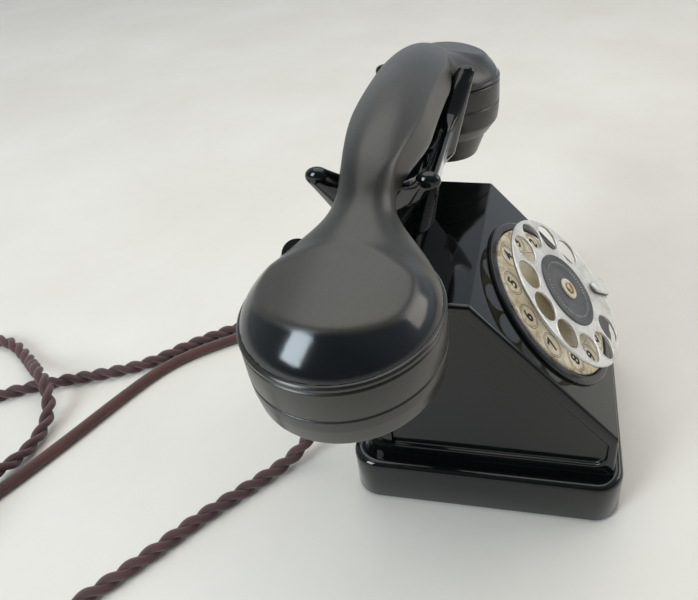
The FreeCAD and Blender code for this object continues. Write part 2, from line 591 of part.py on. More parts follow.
def make_handset():
    cup = turned([
        (0, -CAP_GAP_Z + 0.2), (RIM_R, -CAP_GAP_Z + 0.2), (RIM_R + 0.4, -0.6), (RIM_R, 0), (28.6, 5.0),
        (25.2, 9.6), (19.5, 13.2), (11.0, CUP_CROWN_H - 0.4), (0, CUP_CROWN_H)])
    collar = tube(28.6, 26.0, -9.0, -CAP_GAP_Z + 0.4)
    hollow = cylinder(26.0, -10, 4.0)
    shell = handset_grip()
    for side in (-1, 1):
        shell = shell.fuse(tilted_cup(cup.fuse(collar), side))
    for side in (-1, 1):
        shell = shell.cut(tilted_cup(hollow, side))
        clear = cylinder(RIM_R + 6, -30, -CAP_GAP_Z + 0.2).cut(cylinder(28.6, -31, 1))
        shell = shell.cut(tilted_cup(clear, side))
    parts["handset_shell"] = shell.removeSplitter()
    make_cap("mouthpiece_cap", -1, 29.5, 24.1, 36.0, 19.5)
    make_cap("earpiece_cap", 1, 31.0, 24.1, 45.3, 18.4)
    capsule = turned([(0, -20), (20, -20), (CAPSULE_R, -17), (CAPSULE_R, -3), (20, 1.5), (0, 1.5)])
    parts["transmitter_capsule"] = tilted_cup(capsule, -1)
    parts["receiver_capsule"] = tilted_cup(capsule, 1)


def make_cap(name, side, step_z, step_r, face_z, face_r):
    """Screw cap: two bands with a groove, a chamfer and a smaller stepped face with sound holes."""
    top = -CAP_GAP_Z
    cap = turned([
        (28.8, top), (CAP_R - 0.4, top), (CAP_R, top - 0.5), (CAP_R, -CAP_BAND_Z + 0.5),
        (CAP_R - 0.6, -CAP_BAND_Z), (CAP_R - 0.1, -CAP_BAND_Z - 0.6), (CAP_LOW_R, -CAP_LOW_Z),
        (step_r + 0.8, -step_z + 0.8), (step_r, -step_z),
        (face_r, -face_z), (12.0, -face_z), (10.5, -face_z + 2.0), (0, -face_z + 2.0), (0, -face_z + 5.0),
        (face_r - 3.4, -face_z + 5.0), (step_r - 3.4, -step_z + 2.0), (step_r - 1.0, -21.0), (26.0, -21.0),
        (26.0, -10.0), (28.8, -10.0)])
    holes = [cylinder(1.1, -face_z - 2, -face_z + 8)]
    for i in range(6):
        x, y = polar(5.6, 60 * i)
        holes.append(cylinder(1.1, -face_z - 2, -face_z + 8, x, y))
    parts[name] = tilted_cup(cap.cut(group(holes)), side)


# ---------------------------------------------------------------- ringer and circuit

def make_ringer():
    plate = block(-38, 38, 22, 44, RINGER_PLATE_Z - 2, RINGER_PLATE_Z)
    legs = [block(x, x + 2, 24, 42, PLATE_BOTTOM_Z + PLATE_THICK, RINGER_PLATE_Z - 2) for x in (-38, 36)]
    cheeks = [block(-3, 3, y, y + 1.5, RINGER_PLATE_Z, 63.5) for y in (27.0, 37.5)]
    pin = Part.makeCylinder(1.0, 12.0, V(0, 27.0, 61.0), V(0, 1, 0))
    frame = joined([plate] + legs + cheeks + [pin])
    for x in (-COIL_X, COIL_X):
        frame = frame.cut(cylinder(2.5 + RUN_GAP, RINGER_PLATE_Z - 4, RINGER_PLATE_Z + 1, x, RINGER_Y))
    parts["ringer_frame"] = frame
    for side, word in ((-1, "left"), (1, "right")):
        x = side * GONG_X
        top = GONG_RIM_Z + GONG_H
        gong = turned([
            (GONG_R - GONG_WALL, GONG_RIM_Z), (GONG_R, GONG_RIM_Z), (GONG_R - 0.3, top - 4),
            (GONG_R - 3.5, top - 0.6), (GONG_R - 6, top), (2.1, top), (2.1, top - GONG_WALL),
            (GONG_R - 6.2, top - GONG_WALL),
            (GONG_R - 4.4, top - 1.8), (GONG_R - GONG_WALL - 0.3, top - 4.6)], x, RINGER_Y)
        parts["gong_" + word] = gong
        coil = tube(6.0, 2.6, RINGER_PLATE_Z + 1, RINGER_PLATE_Z + 15, side * COIL_X, RINGER_Y)
        flanges = [tube(6.4, 2.6, z, z + 1, side * COIL_X, RINGER_Y)
                   for z in (RINGER_PLATE_Z, RINGER_PLATE_Z + 15)]
        parts["ringer_coil_" + word] = joined([coil] + flanges)
    top = GONG_RIM_Z + GONG_H
    posts = []
    screws = []
    for x in (-GONG_X, GONG_X):
        posts.append(cylinder(3.0, RINGER_PLATE_Z, top - GONG_WALL, x, RINGER_Y).cut(
            cylinder(1.5, top - 10, top + 2, x, RINGER_Y)))
        slot = block(x - 0.4, x + 0.4, 27, 39, top + 1.0, top + 4)
        screws.append(cylinder(3.6, top, top + 1.8, x, RINGER_Y).fuse(
            cylinder(1.5, top - 9, top, x, RINGER_Y)).cut(slot))
    parts["gong_posts"] = group(posts)
    parts["gong_screws"] = group(screws)
    cores = [cylinder(2.5, RINGER_PLATE_Z - 5, RINGER_PLATE_Z + 18, x, RINGER_Y) for x in (-COIL_X, COIL_X)]
    magnet = block(-14, 14, 28, 38, RINGER_PLATE_Z - 8, RINGER_PLATE_Z - 2.1)
    parts["ringer_magnet"] = joined([magnet] + cores)
    bar = block(-12.5, 12.5, 29.2, 36.8, 60.4, 62.2)
    hub = Part.makeCylinder(2.0, 7.6, V(0, 29.2, 61.0), V(0, 1, 0))
    rod = cylinder(0.9, 61.0, HAMMER_Z, 0, RINGER_Y)
    ball = Part.makeSphere(3.0, V(0, RINGER_Y, HAMMER_Z))
    hammer = joined([bar, hub, rod, ball])
    parts["ringer_hammer"] = hammer.cut(Part.makeCylinder(1.0 + RUN_GAP, 20, V(0, 24, 61.0), V(0, 1, 0)))


def make_circuit():
    floor = PLATE_BOTTOM_Z + PLATE_THICK
    winding = Part.makeCylinder(8.0, 34, V(-30, -36, floor + 10), V(1, 0, 0))
    cheeks = [block(x, x + 2, -46, -26, floor, floor + 20) for x in (-32, 4)]
    parts["induction_coil"] = joined([winding] + cheeks)
    can = block(14, 38, -46, -12, floor, floor + 22)
    upright = [e for e in can.Edges if abs(e.tangentAt(e.FirstParameter).z) > 0.99]
    parts["capacitor"] = can.makeFillet(3.0, upright)
    strip = block(-32, 0, 8, 20, floor, floor + 9)
    heads = []
    for i in range(5):
        x = -28 + 6 * i
        strip = strip.cut(cylinder(1.0, floor + 3, floor + 12, x, 14))
        shank = cylinder(1.0, floor + 4, floor + 9, x, 14)
        heads.append(cylinder(2.2, floor + 9, floor + 10.6, x, 14).fuse(shank))
    parts["terminal_strip"] = strip
    parts["terminal_screws"] = group(heads)
    clamp = block(20, 46, 44, 49.5, floor, floor + 13)
    for x in (LINE_ROUTE[0].x, HANDSET_ROUTE[0].x):
        clamp = clamp.cut(Part.makeCylinder(2.9, 10, V(x, 42, LINE_ROUTE[0].z), V(0, 1, 0)))
    parts["cord_clamp"] = clamp


# ---------------------------------------------------------------- cords

def case_gland(route, bore):
    """Turned bush through the case back, from which a cord leaves."""
    start = route[0]
    profile = [(bore, -14), (5.0, -14), (5.0, -7.9), (6.6, -7.9), (6.0, -5.5), (bore + 1.2, 0), (bore, 0)]
    solid = turned(profile)
    solid.rotate(V(0, 0, 0), V(1, 0, 0), -90)
    solid.translate(start)
    return solid


def handset_gland():
    """Conical sleeve on the mouthpiece cup, pointing down and back along the cord."""
    end = HANDSET_ROUTE[-1]
    heading = (HANDSET_ROUTE[-2] - end).normalize()
    return Part.makeCone(5.2, 4.5, 17, end - heading * 17, heading)


def make_cords():
    parts["line_cord"] = route_tube("line_cord", LINE_ROUTE, CORD_R)
    parts["handset_cord"] = route_tube("handset_cord", HANDSET_ROUTE, HANDSET_CORD_R)
    parts["line_cord_tail"] = route_tube("line_cord_tail", TAIL_ROUTE, CORD_R)
    coil_outer = COIL_MEAN_R + COIL_BAND / 2
    coil_inner = COIL_MEAN_R - COIL_BAND / 2
    parts["line_cord_coil"] = tube(coil_outer, coil_inner, 0.2, COIL_HEIGHT, COIL_CENTRE.x, COIL_CENTRE.y)
    parts["line_cord_gland"] = case_gland(LINE_ROUTE, CORD_R)
    parts["handset_cord_gland"] = case_gland(HANDSET_ROUTE, HANDSET_CORD_R)


def make_plug():
    end = TAIL_ROUTE[-1]
    heading = end - TAIL_ROUTE[-2]
    heading.z = 0
    heading.normalize()
    body = Part.makeBox(PLUG_SIZE.x, PLUG_SIZE.y, PLUG_SIZE.z, V(-PLUG_SIZE.x / 2, 0, -PLUG_SIZE.z / 2))
    body = body.makeFillet(3.0, [e for e in body.Edges if abs(e.tangentAt(e.FirstParameter).y) > 0.99])
    pins = [block(x - 2.5, x + 2.5, PLUG_SIZE.y, PLUG_SIZE.y + 14, -0.6, 0.6) for x in (-9, 0, 9)]
    turn = math.degrees(math.atan2(heading.y, heading.x)) - 90
    for name, shape in (("plug_body", body), ("plug_pins", group(pins))):
        shape = shape.copy()
        shape.rotate(V(0, 0, 0), V(0, 0, 1), turn)
        shape.translate(end)
        parts[name] = shape


# ---------------------------------------------------------------- build and write

parts["case_shell"] = make_case()
make_base()
make_dial_fixed()
make_finger_stop()
make_dial_wheel()
make_gear_train()
make_cradle()
make_hook_switch()
make_handset()
make_ringer()
make_circuit()
make_cords()
make_plug()
gland = handset_gland()
parts["handset_gland"] = gland.cut(parts["handset_shell"]).cut(parts["mouthpiece_cap"])

os.makedirs("parts", exist_ok=True)
for name, shape in parts.items():
    if not shape.isValid():
        print("not valid:", name)
    shape.exportStep("parts/%s.step" % name)
print(len(parts), "parts written")
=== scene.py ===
"""Looks of a corded rotary desk telephone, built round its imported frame.
Shapes are written in millimetres and turned into metres when a mesh is made."""
import itertools
import json
import math
import random

import bpy
import bmesh
import numpy as np
from mathutils import Matrix, Vector


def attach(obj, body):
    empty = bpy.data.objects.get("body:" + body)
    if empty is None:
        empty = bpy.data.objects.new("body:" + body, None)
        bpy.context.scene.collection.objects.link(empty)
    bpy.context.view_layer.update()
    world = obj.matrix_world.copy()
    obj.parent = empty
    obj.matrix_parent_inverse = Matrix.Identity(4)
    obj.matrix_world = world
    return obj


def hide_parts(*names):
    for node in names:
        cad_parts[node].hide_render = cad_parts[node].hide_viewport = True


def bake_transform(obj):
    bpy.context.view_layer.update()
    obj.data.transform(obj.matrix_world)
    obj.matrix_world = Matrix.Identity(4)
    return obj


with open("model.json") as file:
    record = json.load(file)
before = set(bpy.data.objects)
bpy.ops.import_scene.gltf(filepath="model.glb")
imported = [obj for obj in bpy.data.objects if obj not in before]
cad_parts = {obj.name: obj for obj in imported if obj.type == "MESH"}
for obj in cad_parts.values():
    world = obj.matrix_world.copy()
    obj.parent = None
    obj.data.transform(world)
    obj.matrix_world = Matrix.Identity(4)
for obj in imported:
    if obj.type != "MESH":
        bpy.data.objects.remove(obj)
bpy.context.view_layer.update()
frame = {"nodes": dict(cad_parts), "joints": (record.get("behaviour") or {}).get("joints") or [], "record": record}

MM = 0.001
SCENE = bpy.context.scene
NODES = frame["nodes"]
JOINTS = {joint["name"]: joint for joint in frame["joints"]}
random.seed(7)


# ---------------------------------------------------------------- camera

def make_camera():
    """Near the telephone's left end, above it, looking across to the right."""
    azimuth, elevation, roll = (math.radians(a) for a in (-79.4, 31.7, -2.9))
    back = Vector((math.sin(azimuth) * math.cos(elevation), -math.cos(azimuth) * math.cos(elevation),
                   math.sin(elevation)))
    level = (-back).cross(Vector((0, 0, 1))).normalized()
    upright = level.cross(-back)
    right = math.cos(roll) * level + math.sin(roll) * upright
    up = -math.sin(roll) * level + math.cos(roll) * upright
    data = bpy.data.cameras.new("camera")
    data.sensor_width = 36.0
    data.lens = 33.68
    data.shift_x = -0.129
    data.shift_y = -0.136
    data.clip_start = 0.01
    data.clip_end = 50.0
    camera = bpy.data.objects.new("camera", data)
    SCENE.collection.objects.link(camera)
    turn = Matrix((right, up, back)).transposed().to_4x4()
    camera.matrix_world = Matrix.Translation(Vector((-240.6, -23.7, 281.8)) * MM) @ turn
    SCENE.camera = camera


make_camera()


# ---------------------------------------------------------------- material nodes

def new_material(name, color, rough, metallic=0.0, **inputs):
    """A principled material; returns it with its node tree and shader node."""
    material = bpy.data.materials.new(name)
    material.use_nodes = True
    tree = material.node_tree
    shader = tree.nodes["Principled BSDF"]
    shader.inputs["Base Color"].default_value = (*color, 1)
    shader.inputs["Roughness"].default_value = rough
    shader.inputs["Metallic"].default_value = metallic
    for key, value in inputs.items():
        shader.inputs[key.replace("_", " ")].default_value = value
    return material, tree, shader


def noise(tree, scale, detail=4.0, rough=0.55, stretch=(1, 1, 1), vector=None):
    """Noise in the object's own space; scale is per metre."""
    if vector is None:
        vector = tree.nodes.new("ShaderNodeTexCoord").outputs["Object"]
    mapping = tree.nodes.new("ShaderNodeMapping")
    mapping.inputs["Scale"].default_value = stretch
    tree.links.new(vector, mapping.inputs["Vector"])
    node = tree.nodes.new("ShaderNodeTexNoise")
    node.inputs["Scale"].default_value = scale
    node.inputs["Detail"].default_value = detail
    node.inputs["Roughness"].default_value = rough
    tree.links.new(mapping.outputs["Vector"], node.inputs["Vector"])
    return node.outputs["Fac"]


def ramp(tree, source, stops):
    """Colour ramp; stops are (position, grey or colour)."""
    node = tree.nodes.new("ShaderNodeValToRGB")
    tree.links.new(source, node.inputs["Fac"])
    elements = node.color_ramp.elements
    while len(elements) < len(stops):
        elements.new(0.5)
    for element, (place, value) in zip(elements, stops):
        element.position = place
        element.color = (*value, 1) if hasattr(value, "__len__") else (value, value, value, 1)
    return node.outputs["Color"]


def mix(tree, share, a, b, kind="MIX"):
    """Colour mix; a and b are sockets or plain colours."""
    node = tree.nodes.new("ShaderNodeMix")
    node.data_type = "RGBA"
    node.blend_type = kind
    for name, value in (("Factor", share), ("A", a), ("B", b)):
        wanted = "VALUE" if name == "Factor" else "RGBA"
        socket = next(s for s in node.inputs if s.name == name and s.type == wanted)
        if isinstance(value, bpy.types.NodeSocket):
            tree.links.new(value, socket)
        else:
            socket.default_value = value if name == "Factor" else (*value, 1)
    return next(s for s in node.outputs if s.type == "RGBA")


def math_node(tree, operation, a, b=None):
    """One sum; a and b are sockets or plain numbers."""
    node = tree.nodes.new("ShaderNodeMath")
    node.operation = operation
    for index, value in enumerate((a, b)):
        if isinstance(value, bpy.types.NodeSocket):
            tree.links.new(value, node.inputs[index])
        elif value is not None:
            node.inputs[index].default_value = value
    return node.outputs[0]


def attribute(tree, name, kind="Fac"):
    node = tree.nodes.new("ShaderNodeAttribute")
    node.attribute_name = name
    return node.outputs[kind]


def bump(tree, shader, height, distance, strength=1.0):
    node = tree.nodes.new("ShaderNodeBump")
    node.inputs["Distance"].default_value = distance
    node.inputs["Strength"].default_value = strength
    tree.links.new(height, node.inputs["Height"])
    tree.links.new(node.outputs["Normal"], shader.inputs["Normal"])


# ---------------------------------------------------------------- materials

def gloss_bakelite():
    """Polished black phenolic: faint waviness, fine wipe marks and a little dust."""
    material, tree, shader = new_material("black_bakelite", (0.003, 0.0045, 0.004), 0.06, IOR=1.5)
    smear = noise(tree, 28.0, 5.0, 0.6)
    fine = noise(tree, 900.0, 3.0, 0.7)
    rough = ramp(tree, smear, [(0.3, 0.035), (0.75, 0.09)])
    tree.links.new(rough, shader.inputs["Roughness"])
    color = ramp(tree, fine, [(0.4, (0.0025, 0.004, 0.0036)), (0.85, (0.006, 0.008, 0.007))])
    tree.links.new(color, shader.inputs["Base Color"])
    bump(tree, shader, noise(tree, 60.0, 2.0, 0.4), 0.00006)
    return material


def worn_bakelite():
    """Handled bakelite: brown-grey bloom and dull sheen, glossier where the attribute polish is high."""
    material, tree, shader = new_material("handset_bakelite", (0.03, 0.027, 0.022), 0.35, IOR=1.58)
    cloud = noise(tree, 22.0, 6.0, 0.62)
    fine = noise(tree, 700.0, 4.0, 0.7)
    polish = attribute(tree, "polish")
    dull = ramp(tree, cloud, [(0.3, (0.016, 0.0145, 0.0105)), (0.7, (0.034, 0.030, 0.021))])
    speck = ramp(tree, fine, [(0.4, (0.85, 0.85, 0.85)), (0.75, (1.25, 1.22, 1.15))])
    dull = mix(tree, 1.0, dull, speck, "MULTIPLY")
    color = mix(tree, polish, dull, (0.005, 0.006, 0.007))
    tree.links.new(color, shader.inputs["Base Color"])
    rough = ramp(tree, cloud, [(0.3, 0.30), (0.75, 0.42)])
    rough = mix(tree, polish, rough, (0.14, 0.14, 0.14))
    tree.links.new(rough, shader.inputs["Roughness"])
    bump(tree, shader, noise(tree, 90.0, 3.0, 0.5), 0.00008)
    return material


def plated_metal(name, color, rough, grain=600.0, depth=0.00002):
    """Metal with soft stains, a fine grain and uneven polish."""
    material, tree, shader = new_material(name, color, rough, 1.0)
    stain = noise(tree, 55.0, 6.0, 0.65)
    dark = tuple(c * 0.62 for c in color)
    tree.links.new(ramp(tree, stain, [(0.3, dark), (0.62, color)]), shader.inputs["Base Color"])
    tree.links.new(ramp(tree, stain, [(0.3, rough + 0.16), (0.7, rough)]), shader.inputs["Roughness"])
    bump(tree, shader, noise(tree, grain, 2.0, 0.5, (1, 1, 0.2)), depth)
    return material


def wheel_metal():
    """Satin plated finger wheel: pale, slightly rubbed, with fine turning marks."""
    material, tree, shader = new_material("wheel_metal", (0.78, 0.77, 0.73), 0.34, 0.72)
    stain = noise(tree, 75.0, 6.0, 0.7)
    tree.links.new(ramp(tree, stain, [(0.32, (0.52, 0.50, 0.46)), (0.58, (0.82, 0.81, 0.78))]),
                   shader.inputs["Base Color"])
    tree.links.new(ramp(tree, stain, [(0.3, 0.46), (0.7, 0.28)]), shader.inputs["Roughness"])
    bump(tree, shader, noise(tree, 1400.0, 2.0, 0.5), 0.00003)
    return material


def aged_enamel():
    """Cream enamel, browned towards its rim, with a few fine crazing lines."""
    material, tree, shader = new_material("aged_enamel", (0.80, 0.70, 0.48), 0.22, Coat_Weight=0.3)
    edge = attribute(tree, "edge")
    cloud = noise(tree, 120.0, 6.0, 0.7)
    base = ramp(tree, cloud, [(0.3, (0.74, 0.62, 0.40)), (0.55, (0.90, 0.82, 0.62)),
                              (0.8, (0.93, 0.89, 0.74))])
    stain = ramp(tree, noise(tree, 260.0, 5.0, 0.7), [(0.45, (1, 1, 1)), (0.68, (0.45, 0.30, 0.14))])
    brown = mix(tree, edge, (1, 1, 1), stain)
    base = mix(tree, 1.0, base, brown, "MULTIPLY")
    cracks = tree.nodes.new("ShaderNodeTexVoronoi")
    cracks.feature = "DISTANCE_TO_EDGE"
    cracks.inputs["Scale"].default_value = 190.0
    tree.links.new(tree.nodes.new("ShaderNodeTexCoord").outputs["Object"], cracks.inputs["Vector"])
    lines = ramp(tree, cracks.outputs["Distance"], [(0.0, (0.55, 0.42, 0.25)), (0.03, (1, 1, 1))])
    tree.links.new(mix(tree, 0.55, base, lines, "MULTIPLY"), shader.inputs["Base Color"])
    tree.links.new(ramp(tree, cloud, [(0.3, 0.34), (0.7, 0.18)]), shader.inputs["Roughness"])
    bump(tree, shader, cloud, 0.00008)
    return material


def lacquer(name, dark, light, rough, scale=160.0):
    """Painted or moulded finish with a fine mottle."""
    material, tree, shader = new_material(name, dark, rough)
    mottle = noise(tree, scale, 6.0, 0.65)
    tree.links.new(ramp(tree, mottle, [(0.3, dark), (0.75, light)]), shader.inputs["Base Color"])
    tree.links.new(ramp(tree, mottle, [(0.3, rough + 0.1), (0.7, rough - 0.04)]), shader.inputs["Roughness"])
    bump(tree, shader, noise(tree, scale * 6, 3.0, 0.6), 0.00003)
    return material


def textile(name, dark, light, across, along, depth):
    """Braided yarn: two crossing families of diagonal yarns on the tube's own map. across is their
    number round the cord, along the millimetres of cord that each takes."""
    material, tree, shader = new_material(name, dark, 0.82, Sheen_Weight=0.35, Sheen_Roughness=0.5)
    uv = tree.nodes.new("ShaderNodeUVMap")
    uv.uv_map = "UVMap"
    split = tree.nodes.new("ShaderNodeSeparateXYZ")
    tree.links.new(uv.outputs["UV"], split.inputs["Vector"])
    length = math_node(tree, "MULTIPLY", split.outputs["X"], 1.0 / along)
    turns = math_node(tree, "MULTIPLY", split.outputs["Y"], across)
    ridges = []
    for sign in ("ADD", "SUBTRACT"):
        phase = math_node(tree, sign, length, turns)
        wave = math_node(tree, "SINE", math_node(tree, "MULTIPLY", phase, 2 * math.pi))
        ridges.append(math_node(tree, "ABSOLUTE", wave))
    weave = math_node(tree, "MAXIMUM", ridges[0], ridges[1])
    yarn = mix(tree, weave, dark, light)
    fade = ramp(tree, noise(tree, 60.0, 4.0, 0.6), [(0.3, (0.75, 0.72, 0.72)), (0.75, (1.3, 1.2, 1.15))])
    tree.links.new(mix(tree, 1.0, yarn, fade, "MULTIPLY"), shader.inputs["Base Color"])
    fuzz = noise(tree, 2600.0, 3.0, 0.7)
    bump(tree, shader, math_node(tree, "ADD", weave, math_node(tree, "MULTIPLY", fuzz, 0.5)), depth)
    return material


def wound_wire():
    """Enamelled copper wire wound in fine turns."""
    material, tree, shader = new_material("coil_wire", (0.42, 0.13, 0.05), 0.35, 0.7)
    wave = tree.nodes.new("ShaderNodeTexWave")
    wave.inputs["Scale"].default_value = 700.0
    wave.bands_direction = "Z"
    tree.links.new(tree.nodes.new("ShaderNodeTexCoord").outputs["Object"], wave.inputs["Vector"])
    tree.links.new(ramp(tree, wave.outputs["Fac"], [(0.2, (0.22, 0.06, 0.03)), (0.8, (0.55, 0.20, 0.08))]),
                   shader.inputs["Base Color"])
    bump(tree, shader, wave.outputs["Fac"], 0.0001)
    return material


MATERIALS = {
    "case_bakelite": gloss_bakelite(),
    "handset_bakelite": worn_bakelite(),
    "steel": plated_metal("steel", (0.55, 0.56, 0.57), 0.32),
    "wheel_metal": wheel_metal(),
    "brass": plated_metal("brass", (0.62, 0.47, 0.27), 0.34),
    "enamel": aged_enamel(),
    "disc_grey": lacquer("disc_grey", (0.045, 0.05, 0.052), (0.085, 0.09, 0.092), 0.42),
    "dial_black": lacquer("dial_black", (0.010, 0.011, 0.012), (0.03, 0.03, 0.03), 0.20),
    "rubber": lacquer("rubber", (0.012, 0.012, 0.012), (0.03, 0.03, 0.028), 0.75),
    "gong_metal": plated_metal("gong_metal", (0.68, 0.66, 0.60), 0.20),
    "coil_wire": wound_wire(),
    "magnet": lacquer("magnet", (0.035, 0.036, 0.04), (0.07, 0.07, 0.075), 0.45),
    "laminate": lacquer("laminate", (0.16, 0.07, 0.03), (0.26, 0.12, 0.05), 0.45),
    "line_textile": textile("line_textile", (0.030, 0.012, 0.011), (0.105, 0.040, 0.034), 6.0, 2.4, 0.00025),
    "handset_textile": textile("handset_textile", (0.026, 0.012, 0.012), (0.10, 0.044, 0.042),
                               5.0, 1.9, 0.0002),
}
INK = lacquer("dial_ink", (0.004, 0.004, 0.004), (0.01, 0.01, 0.01), 0.55)
LINE_INK = lacquer("dial_line_ink", (0.10, 0.07, 0.045), (0.17, 0.12, 0.08), 0.4)
PALE_PAINT = lacquer("pale_paint", (0.42, 0.43, 0.42), (0.56, 0.56, 0.54), 0.5)
IVORY = lacquer("ivory_washer", (0.66, 0.58, 0.42), (0.80, 0.74, 0.60), 0.3)

for part in frame["record"]["subparts"]:
    mesh = NODES[part["node"]].data
    mesh.materials.clear()
    mesh.materials.append(MATERIALS[part["material_slot"]])


# ---------------------------------------------------------------- mesh helpers

def add_piece(name, verts, faces, slot, body, replaces=(), material=None, sharp=None, shades=None, uvs=None):
    """Make a mesh object from millimetre points and put it on its body. sharp is the angle in degrees
    over which an edge stays crisp; shades holds named values per point, uvs a pair per face corner."""
    mesh = bpy.data.meshes.new(name)
    mesh.from_pydata([tuple(v * MM for v in p) for p in verts], [], [list(f) for f in faces])
    if uvs is not None:
        layer = mesh.uv_layers.new(name="UVMap")
        layer.data.foreach_set("uv", np.asarray(uvs, np.float32).ravel())
    for key, values in (shades or {}).items():
        layer = mesh.attributes.new(key, "FLOAT", "POINT")
        layer.data.foreach_set("value", np.asarray(values, np.float32))
    if uvs is None:
        work = bmesh.new()
        work.from_mesh(mesh)
        bmesh.ops.recalc_face_normals(work, faces=work.faces)
        work.to_mesh(mesh)
        work.free()
    mesh.shade_smooth()
    if sharp is not None:
        mesh.set_sharp_from_angle(angle=math.radians(sharp))
    mesh.materials.append(material or MATERIALS[slot])
    piece = bpy.data.objects.new(name, mesh)
    SCENE.collection.objects.link(piece)
    if body is not None:
        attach(piece, body)
    if replaces:
        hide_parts(*replaces)
    return piece


def together(parts):
    """One list of points and one of faces from several."""
    verts, faces = [], []
    for part_verts, part_faces in parts:
        start = len(verts)
        verts.extend(tuple(v) for v in part_verts)
        faces.extend([i + start for i in face] for face in part_faces)
    return verts, faces


def placed(part, place):
    """Points of a part carried by a function from its own axes to the telephone's."""
    return [place(*v) for v in part[0]], part[1]


def turned(part, angle):
    """Points of a part turned about its own vertical axis."""
    turn = Matrix.Rotation(angle, 3, "Z")
    return placed(part, lambda x, y, z: tuple(turn @ Vector((x, y, z))))


def around(radius, degrees):
    return radius * math.cos(math.radians(degrees)), radius * math.sin(math.radians(degrees))


def softened(points, radius, steps=4, closed=True):
    """Round the corners of a flat outline; radius is one value or one per corner."""
    count = len(points)
    radii = radius if hasattr(radius, "__len__") else [radius] * count
    out = []
    for i, corner in enumerate(points):
        if not closed and i in (0, count - 1) or radii[i] <= 0:
            out.append(tuple(corner))
            continue
        corner = np.array(corner, float)
        before = np.array(points[i - 1], float) - corner
        after = np.array(points[(i + 1) % count], float) - corner
        longest = 0.48 * min(np.linalg.norm(before), np.linalg.norm(after))
        before, after = before / np.linalg.norm(before), after / np.linalg.norm(after)
        turn = math.pi - math.acos(max(-1.0, min(1.0, float(before @ after))))
        cut = min(longest, radii[i] * math.tan(turn / 2))
        true_radius = cut / math.tan(turn / 2) if turn > 1e-4 else 0.0
        bisector = before + after
        if true_radius <= 0 or np.linalg.norm(bisector) < 1e-6:
            out.append(tuple(corner))
            continue
        centre = corner + bisector / np.linalg.norm(bisector) * math.hypot(cut, true_radius)
        start, end = corner + before * cut - centre, corner + after * cut - centre
        for k in range(steps + 1):
            share = k / steps
            weight_a = math.sin((1 - share) * turn) / math.sin(turn)
            weight_b = math.sin(share * turn) / math.sin(turn)
            out.append(tuple(centre + start * weight_a + end * weight_b))
    return out


def lathe(profile, segments=128, closed=False):
    """Turn a profile of (radius, height) about the vertical axis."""
    verts, faces, rows = [], [], []
    for radius, height in profile:
        if radius < 1e-6:
            rows.append([len(verts)])
            verts.append((0.0, 0.0, height))
            continue
        rows.append(list(range(len(verts), len(verts) + segments)))
        for k in range(segments):
            angle = 2 * math.pi * k / segments
            verts.append((radius * math.cos(angle), radius * math.sin(angle), height))
    pairs = list(zip(rows, rows[1:])) + ([(rows[-1], rows[0])] if closed else [])
    for low, high in pairs:
        for k in range(segments):
            n = (k + 1) % segments
            ring = [low[k % len(low)], low[n % len(low)], high[n % len(high)], high[k % len(high)]]
            face = list(dict.fromkeys(ring))
            if len(face) > 2:
                faces.append(face)
    return verts, faces


def torus(ring_r, wire_r, x, y, z, segments=48, sides=12):
    angles = [2 * math.pi * k / sides for k in range(sides)]
    circle = [(ring_r + wire_r * math.cos(angle), z + wire_r * math.sin(angle)) for angle in angles]
    return placed(lathe(circle, segments, closed=True), lambda a, b, c: (a + x, b + y, c))


def loft(loops, cap_start=True, cap_end=True):
    """Skin over loops that have the same number of points."""
    count = len(loops[0])
    verts = [p for loop in loops for p in loop]
    faces = []
    for row in range(len(loops) - 1):
        for k in range(count):
            n = (k + 1) % count
            faces.append([row * count + k, row * count + n, (row + 1) * count + n, (row + 1) * count + k])
    if cap_start:
        faces.append(list(range(count))[::-1])
    if cap_end:
        faces.append(list(range((len(loops) - 1) * count, len(loops) * count)))
    return verts, faces


def smooth_max(a, b, k):
    """Larger of two fields, with the crossing rounded over about k."""
    h = np.maximum(k - np.abs(a - b), 0) / k
    return np.maximum(a, b) + h * h * k / 4


def smooth_min(a, b, k):
    return -smooth_max(-a, -b, k)


def ease(share):
    """Smooth step from 0 to 1."""
    share = np.clip(share, 0, 1)
    return share * share * (3 - 2 * share)


